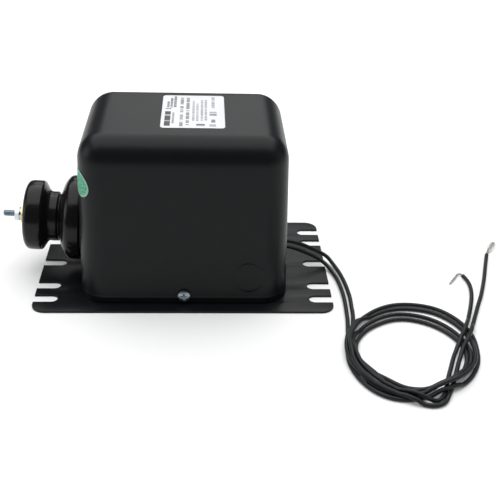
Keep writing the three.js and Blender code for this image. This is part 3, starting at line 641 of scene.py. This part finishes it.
# ---- base plate -----------------------------------------------------------------------------
# 16 gauge steel blank, painted with the can: five open slots punched in each short edge, and
# two ears lanced and bent up inside the can for the case screws.
PLATE_LENGTH, PLATE_WIDTH, PLATE_THICK, PLATE_CORNER = 203.2, 127.0, 1.5, 9.0
PLATE_EDGE = 0.22  # radius left on the cut edges
SLOT_RADIUS, SLOT_TIP = 4.15, 16.0
SLOT_ROWS = np.array([-47.6, -30.8, 0, 30.8, 47.6])
EAR_WIDTH, EAR_HEIGHT, EAR_FACE = 16.0, 14.0, 52.15
SCREW_Z = 8.4


def arc(x, y, radius, start, end, count):
    """Points along an arc from one angle in degrees to another."""
    turn = np.radians(np.linspace(start, end, count))
    return np.stack([x + radius * np.cos(turn), y + radius * np.sin(turn)], 1)


def plate_outline():
    """The blank's edge: rounded corners, and up each short edge five slots whose mouths break
    the edge and whose ends are half circles."""
    half_x, half_y = PLATE_LENGTH / 2, PLATE_WIDTH / 2
    slot_x = half_x - SLOT_TIP + SLOT_RADIUS
    inside = half_x - PLATE_CORNER, half_y - PLATE_CORNER
    right = [arc(inside[0], -inside[1], PLATE_CORNER, -90, 0, 12)]
    for row in SLOT_ROWS:
        right.append(np.array([[half_x, row - SLOT_RADIUS]]))
        right.append(arc(slot_x, row, SLOT_RADIUS, 270, 90, 21))
        right.append(np.array([[half_x, row + SLOT_RADIUS]]))
    right.append(arc(inside[0], inside[1], PLATE_CORNER, 0, 90, 12))
    right = np.concatenate(right)
    return np.concatenate([right, -right])


def flat_curve(name, loops, thick, edge):
    """A flat sheet with rounded edges, as a filled curve of closed loops made into a mesh."""
    curve = bpy.data.curves.new(name, "CURVE")
    curve.dimensions, curve.fill_mode = "2D", "BOTH"
    curve.extrude = (thick / 2 - edge) * MM
    curve.bevel_depth, curve.bevel_resolution, curve.offset = edge * MM, 2, -edge * MM
    for loop in loops:
        spline = curve.splines.new("POLY")
        spline.points.add(len(loop) - 1)
        flat = np.c_[loop * MM, np.zeros(len(loop)), np.ones(len(loop))]
        spline.points.foreach_set("co", flat.ravel())
        spline.use_cyclic_u = True
    shape = put_in_scene(name, curve)
    mesh = modified_mesh(shape)
    bpy.data.objects.remove(shape)
    bpy.data.curves.remove(curve)
    return mesh


def ear_grid(side):
    """An upright ear as a lofted rectangle whose top edge is rounded off."""
    y0, y1 = side * (EAR_FACE - PLATE_THICK), side * EAR_FACE
    height = np.array([0.8, 0.8, 10, 11.5, 12.7, 13.5, EAR_HEIGHT, EAR_HEIGHT])[:, None]
    half = EAR_WIDTH / 2 - np.array([8, 0, 0, 0.2, 0.9, 2.2, 4.2, 8.0])[:, None]
    across = np.array([-1, 1, 1, -1])[None] * half
    deep = np.array([y0, y0, y1, y1])[None] * np.ones_like(half)
    flatten = (np.arange(8) == 0) | (np.arange(8) == 7)
    deep = np.where(flatten[:, None], (y0 + y1) / 2, deep)
    return np.stack([across, deep, height * np.ones((1, 4))], -1)


plate_finish = grained_finish("plate_black_paint", (0.0045, 0.005, 0.006), (0.0072, 0.008, 0.0094),
                              (0.28, 0.4), scale=1100, relief=0.18, depth=0.0001,
                              specular=0.22, dust=(0.05, 0.05, 0.05))[0]
plate_loops = [plate_outline()]
for side in (-1, 1):
    near, far = side * (EAR_FACE - PLATE_THICK - 0.3), side * (EAR_FACE - EAR_HEIGHT)
    half = EAR_WIDTH / 2
    plate_loops.append(np.array([(-half, near), (half, near), (half, far), (-half, far)]))
plate_mesh = flat_curve("base_plate_sheet", plate_loops, PLATE_THICK, PLATE_EDGE)
plate_mesh.transform(Matrix.Translation((0, 0, PLATE_THICK / 2 * MM)))
ears = skin_mesh("ears", [ear_grid(-1), ear_grid(1)])
joined = bmesh.new()
joined.from_mesh(plate_mesh)
joined.from_mesh(ears)
joined.to_mesh(plate_mesh)
joined.free()
close_and_smooth(plate_mesh, 30)
plate_mesh.materials.clear()
place_piece("slotted_plate", plate_mesh, plate_finish, "black_paint", "base_plate")

# ---- case screws ----------------------------------------------------------------------------
# Two number 8 pan-head screws, zinc plated, with a cross recess; they pass through the can's
# wall into the plate's ears. The rear one is longer and takes the ground lug.
HEAD_RADIUS, HEAD_HEIGHT, DOME_DROP, SHANK_RADIUS = 4.0, 2.6, 0.85, 2.05
RECESS_HALF, RECESS_REACH, RECESS_DEEP = 0.42, 2.2, 1.5
WALL_SOFTNESS, END_SOFTNESS = 0.05, 0.07  # of the recess


def screw_grid(side, shank):
    """Rows out from the head's middle over its dome, down its rim and along the shank. The
    recess is two crossed slots with soft walls that get shallower away from the middle."""
    turn = once_round(96)[None]
    part = np.linspace(0, 1, 30)[:, None]
    radius = HEAD_RADIUS * part
    dome = HEAD_HEIGHT - DOME_DROP * part ** 2.6
    x, z = radius * np.cos(turn), radius * np.sin(turn)
    narrow = np.minimum(np.abs(x), np.abs(z))
    reach = np.maximum(np.abs(x), np.abs(z))
    half = RECESS_HALF * (1.25 - 0.3 * reach / RECESS_REACH)
    cut = 1 / (1 + np.exp((narrow - half) / WALL_SOFTNESS))
    cut = cut / (1 + np.exp((reach - RECESS_REACH) / END_SOFTNESS))
    out = dome - cut * RECESS_DEEP * (1 - 0.45 * reach / RECESS_REACH)
    rim_r = np.array([HEAD_RADIUS, 3.97, 3.9, SHANK_RADIUS, SHANK_RADIUS, 1.6, 0.0])[:, None]
    rim_s = np.array([1.0, 0.25, 0.0, 0.0, 1 - shank, -shank, -shank])[:, None]
    radius = np.concatenate([radius * np.ones_like(turn), rim_r * np.ones_like(turn)])
    out = np.concatenate([out, rim_s * np.ones_like(turn)])
    seat = CAN_DEPTH / 2 - CAN_LEAN * (SCREW_Z - 1.5) + 0.15
    return np.stack([radius * np.cos(turn), side * (seat + out),
                     SCREW_Z + radius * np.sin(turn)], -1)


zinc_finish = grained_finish("zinc_plate", (0.27, 0.33, 0.37), (0.4, 0.47, 0.51), (0.24, 0.42),
                             metal=1.0, scale=1800, relief=0.18, depth=0.00006)[0]
for name, side, shank, stands_for in (
    ("screw_front", -1, 6.5, "front_case_screw"), ("screw_rear_", 1, 11.0, "rear_case_screw"),
):
    add_skin(name, [screw_grid(side, shank)], zinc_finish, "zinc_plate", stands_for, crease=32)

# ---- porcelain bushing ----------------------------------------------------------------------
# One turned and glazed piece of dark porcelain: a domed flange at the wall, a grooved neck and
# an outer disc. The glaze is glassy and runs a little thin on the edges.
PORCELAIN_PROFILE = [
    (3, -14), (10.5, -14), (12, -12.5), (14, -12.5), (14, 2.3), (28.9, 2.3), (29.6, 3.1),
    (29.6, 8.8), (28.9, 11.2), (26.8, 13.4), (23.4, 15.3), (19.5, 16.6), (16.2, 17.2),
    (15.5, 18), (15.7, 18.7), (17.1, 19.2), (17.3, 20), (17.1, 23.4), (17.4, 24.8),
    (18.8, 26.2), (21.6, 27.8), (23.9, 29.2), (24.35, 30.6), (24.35, 37), (23.8, 39.2),
    (22, 40.9), (19.4, 41.7), (10, 41.5), (8.5, 41.3), (3, 41.3),
]


def softened(profile, rounds=3):
    """Cuts every corner of a closed profile back to a quarter and three quarters of each
    side, again and again, until it is a smooth curve."""
    p = np.asarray(profile, float)
    for _ in range(rounds):
        following = np.roll(p, -1, axis=0)
        p = np.stack([0.75 * p + 0.25 * following, 0.25 * p + 0.75 * following], 1).reshape(-1, 2)
    return p


def turned_grid(profile, sides, point=bushing_point):
    """A closed profile of radius and distance, carried round an axis."""
    turn = once_round(sides)[None]
    p = np.asarray(profile, float)
    return point(p[:, :1], p[:, 1:], turn)


glaze_finish = grained_finish(
    "black_glaze", (0.005, 0.005, 0.0055), (0.01, 0.009, 0.0085), (0.12, 0.26), scale=260,
    relief=0.05, depth=0.0003, specular=0.2, dust=(0.03, 0.03, 0.03))[0]
add_skin("porcelain", [turned_grid(softened(PORCELAIN_PROFILE), 112)], glaze_finish,
         "glazed_porcelain", "hv_bushing", crease=50, wrap_rows=True)

# ---- bushing gasket and retainer ------------------------------------------------------------
# A rubber washer squeezed between the porcelain and the wall, and the sprung steel ring that
# holds the porcelain from inside the can.
GASKET_IN, GASKET_OUT, GASKET_FACE = 15.4, 27.5, 2.0


def gasket_grid():
    """A ring whose outer face is square to the axis and whose inner face lies on the leaning
    wall: its distance along the axis follows the cosine of the angle."""
    turn = once_round(96)[None]
    slope = (math.sin(BUSHING_TILT) - CAN_LEAN * math.cos(BUSHING_TILT)) / math.cos(BUSHING_TILT)
    radius = np.array([GASKET_IN, GASKET_OUT, GASKET_OUT + 0.15, GASKET_OUT + 0.15, GASKET_OUT,
                       GASKET_IN])[:, None]
    face = np.array([0, 0, 0.35, GASKET_FACE - 0.35, GASKET_FACE, GASKET_FACE])[:, None]
    on_wall = np.array([1, 1, 1, 0, 0, 0])[:, None]
    along = face + on_wall * (0.12 + slope * radius * np.cos(turn))
    return bushing_point(radius, along, turn)


rubber_finish = grained_finish("black_rubber", (0.017, 0.017, 0.017), (0.026, 0.026, 0.025),
                               (0.6, 0.8), scale=900, relief=0.3)[0]
add_skin("gasket", [gasket_grid()], rubber_finish, "black_rubber", "bushing_gasket",
         crease=40, wrap_rows=True)
spring_finish = grained_finish("spring_steel", (0.2, 0.21, 0.23), (0.3, 0.31, 0.33), (0.25, 0.4),
                               metal=1.0, scale=1200)[0]
RETAINER_PROFILE = [(14.3, -5.2), (15.3, -5.2), (21.5, -3.4), (21.5, -2.5), (14.3, -4.2)]
add_skin("retainer", [turned_grid(RETAINER_PROFILE, 72)], spring_finish, "spring_steel",
         "bushing_retainer", wrap_rows=True)

# ---- terminal stud --------------------------------------------------------------------------
# Number 10 stud, 32 threads to the inch, zinc plated, through the whole bushing.
STUD_RADIUS, THREAD_PITCH, THREAD_DEPTH = 2.35, 25.4 / 32, 0.42
STUD_INNER, STUD_TIP = -21.0, 57.4
STUD_SIDES, STEPS_PER_THREAD = 28, 7


def stud_grid():
    """The radius rises and falls with the distance along the axis less the pitch times the
    share of a turn gone round, which winds the ridge into a helix."""
    turn = once_round(STUD_SIDES)[None]
    along = np.arange(STUD_INNER + 0.4, STUD_TIP - 0.4, THREAD_PITCH / STEPS_PER_THREAD)[:, None]
    phase = along / THREAD_PITCH - turn / (2 * np.pi)
    ridge = np.abs(2 * (phase - np.floor(phase)) - 1)
    end = np.minimum(along - STUD_INNER, STUD_TIP - along)
    radius = np.minimum(STUD_RADIUS - THREAD_DEPTH * ridge, 1.45 + end)
    caps = [(0, STUD_INNER), (1.4, STUD_INNER)], [(1.5, STUD_TIP), (0, STUD_TIP)]
    caps = [np.array(cap, float)[:, None] * np.ones((1, STUD_SIDES, 1)) for cap in caps]
    radius = np.concatenate([caps[0][..., 0], radius, caps[1][..., 0]])
    along = np.concatenate([
        caps[0][..., 1], along * np.ones((1, STUD_SIDES)), caps[1][..., 1]])
    return bushing_point(radius, along, turn)


add_skin("stud", [stud_grid()], zinc_finish, "zinc_plate", "terminal_stud", crease=50)

# ---- terminal nuts and lock washer ----------------------------------------------------------
# A brass seat nut against the porcelain, a split lock washer and a zinc plated hexagon nut
# that backs off along the stud.
BORE, CONE_SLOPE = 2.45, 1.55


def nut_grid(flats, seat, height):
    """A hexagon whose radius is half the flats over the cosine of the angle from the nearest
    flat, cut down by a cone at each face, with a countersunk bore."""
    turn = once_round(144)[None]
    hexagon = flats / 2 / np.cos(np.mod(turn, np.pi / 3) - np.pi / 6)
    step = np.r_[0, 0.12, 0.25, 0.42, 0.6, 0.85, 1.1]
    out = np.r_[step, height / 2, height - step[::-1]][:, None]
    cone = flats / 2 - 0.15 + np.minimum(out + 0.3, height - out) * CONE_SLOPE
    side = np.minimum(hexagon, cone) - 0.04 * np.exp(-np.minimum(out, height - out) / 0.1)
    lip = np.array([BORE + 0.45, BORE + 0.02, BORE, BORE, BORE + 0.02, BORE + 0.45])[:, None]
    lip_out = np.array([height, height - 0.4, height - 0.5, 0.5, 0.4, 0])[:, None]
    radius = np.concatenate([side, lip * np.ones_like(turn)])
    along = np.concatenate([out * np.ones_like(turn), lip_out * np.ones_like(turn)])
    return bushing_point(radius, seat + along, turn)


brass_finish = grained_finish("yellow_chromate", (0.55, 0.47, 0.2), (0.72, 0.62, 0.3),
                              (0.22, 0.38), metal=1.0, scale=1500, relief=0.15)[0]
bright_zinc = grained_finish("bright_zinc", (0.5, 0.55, 0.58), (0.68, 0.73, 0.76), (0.2, 0.36),
                             metal=1.0, scale=1800, relief=0.15, depth=0.00006)[0]
# each nut: across its flats, how far out it sits, and its height
for name, flats, seat, height, finish, slot, body, stands_for in (
    ("seat_nut", 11.5, 41.6, 3.5, brass_finish, "bare_brass", "transformer", "terminal_seat_nut"),
    ("outer_nut", 9.53, 46.2, 3.2, bright_zinc, "zinc_plate", "nut", "terminal_nut"),
    ("inner_nut", 9.53, -19.9, 3.2, brass_finish, "bare_brass", "transformer", "stud_inner_nut"),
):
    add_skin(name, [nut_grid(flats, seat, height)], finish, slot, stands_for, body=body,
             crease=25, wrap_rows=True)


WASHER_SEAT, WASHER_SPLIT = 45.2, 0.11  # distance out, and half the split's angle


def washer_grid():
    """A square-section ring with one narrow split; its two ends are drawn in to a point."""
    turn = np.linspace(WASHER_SPLIT, 2 * np.pi - WASHER_SPLIT, 90)[:, None]
    radius = np.array([2.6, 4.12, 4.2, 4.2, 4.12, 2.6])[None]
    along = WASHER_SEAT + np.array([0, 0, 0.1, 0.8, 0.9, 0.9])[None]
    rings = bushing_point(radius, along, turn)
    ends = [np.repeat(rings[k].mean(0)[None, None], 6, axis=1) for k in (0, -1)]
    return np.concatenate([ends[0], rings, ends[1]])


add_skin("lock_washer", [washer_grid()], bright_zinc, "zinc_plate", "terminal_washer",
         body="washer", crease=30)

# ---- lead bushing ---------------------------------------------------------------------------
# Black nylon snap bushing that lines the lead hole in the right wall.
nylon_finish = grained_finish("black_nylon", (0.014, 0.014, 0.014), (0.02, 0.02, 0.02),
                              (0.35, 0.5), scale=1000, relief=0.15)[0]
LEAD_BUSHING_PROFILE = [
    (4, -5), (5.8, -5), (6, -1.6), (6, 0.3), (8, 0.3), (8, 1.3), (7.4, 1.9), (4.9, 2.1), (4, 1.4),
]
snap_grid = turned_grid(softened(LEAD_BUSHING_PROFILE, 2), 64, lead_hole_point)
add_skin("lead_snap_bushing", [snap_grid], nylon_finish, "black_nylon", "lead_bushing",
         crease=50, wrap_rows=True)

# ---- rating label ---------------------------------------------------------------------------
# A white film stuck on the top. Its print is stood for by plain rows of grey bars.
LABEL_CENTRE, LABEL_HALF, LABEL_CORNER = (5.6, 1.5), (20.8, 29.5), 2.5


def label_grid():
    """The rounded outline drawn in to its middle, above and below, with a soft edge."""
    x, y = LABEL_HALF[0] - LABEL_CORNER, LABEL_HALF[1] - LABEL_CORNER
    corners = [arc(sx * x, sy * y, LABEL_CORNER, start, start + 90, 9)
               for sx, sy, start in ((1, -1, -90), (1, 1, 0), (-1, 1, 90), (-1, -1, 180))]
    edge = np.concatenate(corners)
    size = np.array([0, 0.5, 0.995, 1, 1, 0.995, 0])[:, None, None]
    height = CAN_TOP + np.array([0.2, 0.2, 0.2, 0.15, 0.05, 0.05, 0.05])[:, None, None]
    flat = edge[None] * size + np.array(LABEL_CENTRE)
    return np.concatenate([flat, height * np.ones((1, len(edge), 1))], 2)


# each row: centre across and along the label, half width and half length, dash size, weight
PRINTED_ROWS = [
    (-16.6, -11.0, 1.9, 15.5, 6.0, 0.97), (-16.8, 12.0, 0.8, 6.0, 1.1, 0.8),
    (-14.6, 14.5, 0.8, 9.5, 1.0, 0.8), (-12.2, 17.0, 0.9, 10.5, 1.1, 0.92),
    (-13.0, -12.5, 0.7, 9.5, 1.0, 0.75), (-7.6, -1.0, 1.1, 26.0, 3.0, 0.7),
    (-3.6, 0.0, 1.1, 25.0, 3.2, 0.7), (0.2, 0.5, 0.8, 18.5, 1.0, 0.55),
    (2.8, -2.0, 0.8, 16.0, 1.0, 0.55), (5.8, 1.5, 0.8, 19.5, 1.0, 0.6),
    (8.4, 1.5, 0.8, 19.5, 1.0, 0.6), (5.0, -24.5, 2.8, 2.0, 0.9, 0.93),
    (13.3, 15.5, 1.1, 11.0, 1.1, 0.6), (13.2, -4.0, 2.4, 4.0, 2.4, 0.75),
    (13.2, -17.5, 1.3, 2.8, 1.4, 0.85), (12.8, -25.0, 2.2, 1.9, 1.5, 0.7),
]


def printed_row_group():
    """Ink of one printed row: a box on the label, broken up along its length only, by a noise,
    into plain dashes as high as the row."""
    group, given = new_group("printed_row", [
        ("Vector", "V"), ("Across", "F"), ("Along", "F"), ("Half Width", "F"),
        ("Half Length", "F"), ("Dash", "F"), ("Weight", "F")], [("Ink", "F")])

    def math_node(operation, *values):
        return add_node(group, "ShaderNodeMath", dict(enumerate(values)),
                        operation=operation).outputs[0]

    parts = add_node(group, "ShaderNodeSeparateXYZ", {0: given["Vector"]}).outputs
    off_x = math_node("ABSOLUTE", math_node("SUBTRACT", parts["X"], given["Across"]))
    off_y = math_node("ABSOLUTE", math_node("SUBTRACT", parts["Y"], given["Along"]))
    inside = math_node("MULTIPLY", math_node("LESS_THAN", off_x, given["Half Width"]),
                       math_node("LESS_THAN", off_y, given["Half Length"]))
    lie = add_node(group, "ShaderNodeCombineXYZ", {
        "Y": math_node("DIVIDE", math_node("MULTIPLY", parts["Y"], 1.4), given["Dash"]),
        "Z": given["Across"]})
    dashes = add_node(group, "ShaderNodeTexNoise",
                      {"Vector": lie.outputs[0], "Scale": 1.0, "Detail": 0.0})
    strokes = add_node(group, "ShaderNodeMapRange", {
        "Value": dashes.outputs["Fac"], "From Min": 0.36, "From Max": 0.44})
    ink = math_node("MULTIPLY", math_node("MULTIPLY", inside, strokes.outputs[0]),
                    given["Weight"])
    add_node(group, "NodeGroupOutput", {"Ink": ink})
    return group


printed_row = printed_row_group()
label_finish, tree, shader, place, _, paper = grained_finish(
    "label_film", (0.67, 0.677, 0.7), (0.74, 0.747, 0.77), (0.4, 0.55), scale=500, relief=0.05)
in_mm = add_node(tree, "ShaderNodeMapping", {
    "Vector": place, "Location": (-LABEL_CENTRE[0], -LABEL_CENTRE[1], 0),
    "Scale": (1000, 1000, 1000)})
ink = None
for across, along, half_width, half_length, dash, weight in PRINTED_ROWS:
    row = add_node(tree, "ShaderNodeGroup", {
        "Vector": in_mm.outputs[0], "Across": across, "Along": along,
        "Half Width": half_width, "Half Length": half_length, "Dash": dash,
        "Weight": weight}, node_tree=printed_row)
    ink = row.outputs[0] if ink is None else add_node(
        tree, "ShaderNodeMath", {0: ink, 1: row.outputs[0]}, operation="MAXIMUM").outputs[0]
tree.links.new(mixed(tree, ink, paper, (0.03, 0.03, 0.032, 1)), shader.inputs["Base Color"])
add_skin("label", [label_grid()], label_finish, "label_film", "rating_label", crease=40)

# ---- green sticker --------------------------------------------------------------------------
# An oval of green film with a paler rim, stuck round the front left corner above the bushing.
STICKER_CENTRE, STICKER_HALF, STICKER_THICK = (-66.0, -42.4, 86.0), (7.8, 10.0), 0.14
STICKER_FACING, STICKER_SLANT = math.radians(27), math.radians(50)


def sticker_grid():
    """Rings of an oval drawn on a plane that faces the corner, each point moved along the
    plane's normal until it meets the can: the flat wall, or the corner's circle."""
    part = np.array([0, 0.15, 0.3, 0.45, 0.6, 0.72, 0.82, 0.9, 0.96, 1.0])[:, None]
    turn = once_round(72)[None]
    wide, tall = part * np.cos(turn), part * np.sin(turn)
    short, long = STICKER_HALF[0] * wide, STICKER_HALF[1] * tall
    forward_by = short * math.cos(STICKER_SLANT) - long * math.sin(STICKER_SLANT)
    z = STICKER_CENTRE[2] + short * math.sin(STICKER_SLANT) + long * math.cos(STICKER_SLANT)
    sine, cosine = math.sin(STICKER_FACING), math.cos(STICKER_FACING)
    lean = 1 - CAN_LEAN * (z - 1.5) / (CAN_LENGTH / 2)
    lean_y = 1 - CAN_LEAN * (z - 1.5) / (CAN_DEPTH / 2)
    middle_x, middle_y = -(CAN_LENGTH / 2 - CAN_CORNER), -(CAN_DEPTH / 2 - CAN_CORNER)
    x = STICKER_CENTRE[0] + sine * forward_by
    y = STICKER_CENTRE[1] - cosine * forward_by
    for _ in range(12):
        off_x = x - middle_x * lean
        off_y = np.minimum(y - middle_y * lean_y, 0)
        short = CAN_CORNER * lean + 0.1 - np.hypot(off_x, off_y)
        x, y = x - cosine * short, y - sine * short
    return np.stack([x, y, z], -1), np.stack([wide, tall, np.zeros_like(wide)], -1)


sticker_points, sticker_marks = sticker_grid()
sticker_finish, tree, shader, _, _, film = grained_finish(
    "green_film", (0.015, 0.29, 0.14), (0.035, 0.38, 0.2), (0.4, 0.55), scale=700, relief=0.08,
    specular=0.25)
mark = add_node(tree, "ShaderNodeAttribute", attribute_name="oval")
round_mark = add_node(tree, "ShaderNodeVectorMath", {0: mark.outputs["Vector"]},
                      operation="LENGTH")
rim = add_node(tree, "ShaderNodeMapRange", {
    "Value": round_mark.outputs["Value"], "From Min": 0.82, "From Max": 0.9})
flecks = add_node(tree, "ShaderNodeTexNoise",
                  {"Vector": mark.outputs["Vector"], "Scale": 7.0, "Detail": 2.0})
fleck = add_node(tree, "ShaderNodeMapRange", {
    "Value": flecks.outputs["Fac"], "From Min": 0.5, "From Max": 0.56, "To Max": 0.7})
paler = add_node(tree, "ShaderNodeMath", {0: rim.outputs[0], 1: fleck.outputs[0]},
                 operation="MAXIMUM")
edged = mixed(tree, paler.outputs[0], film, (0.3, 0.52, 0.42, 1))
tree.links.new(edged, shader.inputs["Base Color"])
mesh = skin_mesh("sticker", [sticker_points])
attribute = mesh.attributes.new("oval", "FLOAT_VECTOR", "POINT")
attribute.data.foreach_set("vector", sticker_marks.reshape(-1).astype(np.float32))
close_and_smooth(mesh, 60)
sticker = place_piece("sticker", mesh, sticker_finish, "green_sticker", "test_sticker")
thick = sticker.modifiers.new("film", "SOLIDIFY")
thick.thickness, thick.offset = STICKER_THICK * MM, 1.0

# ---- core, windings and filling -------------------------------------------------------------
# What the can holds: laminated core halves and shunts, a zinc plated band, paper forms and
# wound coils, insulated joints, and black asphalt poured round it all.
def layered_finish(name, colour, other, rough, axis, pitch_mm, metal=0.0, depth=0.0003):
    """A finish with straight layers across one axis, such as laminations or turns of wire."""
    material, tree, shader, place, grain, _ = grained_finish(
        name, colour, other, rough, metal=metal, scale=800)
    along = add_node(tree, "ShaderNodeSeparateXYZ", {0: place}).outputs[axis]
    layers = add_node(tree, "ShaderNodeMath", {0: along, 1: 2 * math.pi / (pitch_mm * MM)},
                      operation="MULTIPLY")
    wave = add_node(tree, "ShaderNodeMath", {0: layers.outputs[0]}, operation="SINE")
    ridge = add_node(tree, "ShaderNodeBump", {
        "Strength": 0.6, "Distance": depth, "Height": wave.outputs[0],
        "Normal": grain.outputs["Normal"]})
    shade = add_node(tree, "ShaderNodeMapRange", {
        "Value": wave.outputs[0], "From Min": -1.0, "From Max": 1.0, "To Max": 1.0})
    tone = mixed(tree, shade.outputs[0], (*[0.35 * c for c in colour], 1), (*other, 1))
    tree.links.new(tone, shader.inputs["Base Color"])
    tree.links.new(ridge.outputs[0], shader.inputs["Normal"])
    return material


laminated = layered_finish("laminated_steel", (0.2, 0.2, 0.21), (0.3, 0.3, 0.31), (0.4, 0.6),
                           "Z", 0.9, metal=0.9)
wound = layered_finish("wound_wire", (0.3, 0.11, 0.04), (0.45, 0.19, 0.08), (0.25, 0.4),
                       "X", 0.6, metal=0.9, depth=0.0002)
paper_board = grained_finish("form_board", (0.42, 0.29, 0.14), (0.55, 0.4, 0.22), (0.7, 0.9),
                             scale=1200, relief=0.3)[0]
asphalt = grained_finish("potting_asphalt", (0.008, 0.007, 0.007), (0.02, 0.018, 0.016),
                         (0.5, 0.85), scale=450, relief=0.6, depth=0.0006)[0]
copper_finish = grained_finish("enamelled_copper", (0.4, 0.14, 0.05), (0.55, 0.22, 0.1),
                               (0.25, 0.4), metal=1.0, scale=1500)[0]
sleeve_finish = grained_finish("splice_sleeve", (0.35, 0.3, 0.2), (0.45, 0.39, 0.28),
                               (0.4, 0.6), scale=900)[0]
INSIDE_FINISHES = {
    laminated: ["core_stack_e", "core_bar_i", "magnetic_shunt_front", "magnetic_shunt_rear"],
    wound: ["primary_winding", "secondary_winding"],
    paper_board: ["primary_form", "secondary_form", "core_spacer_left", "core_spacer_right",
                  "base_insulator"],
    asphalt: ["potting_compound"],
    zinc_finish: ["core_band", "ground_nut"],
    brass_finish: ["stud_inner_washer"],
    strand_finish: ["high_voltage_lug", "ground_lug"],
    lead_finish: ["high_voltage_lead", "inner_lead_a", "inner_lead_b"],
    copper_finish: ["ground_lead", "primary_tail_a", "primary_tail_b"],
    sleeve_finish: ["splice_a", "splice_b"],
}
for finish, names in INSIDE_FINISHES.items():
    for name in names:
        for held in nodes[name].material_slots:
            held.material = finish
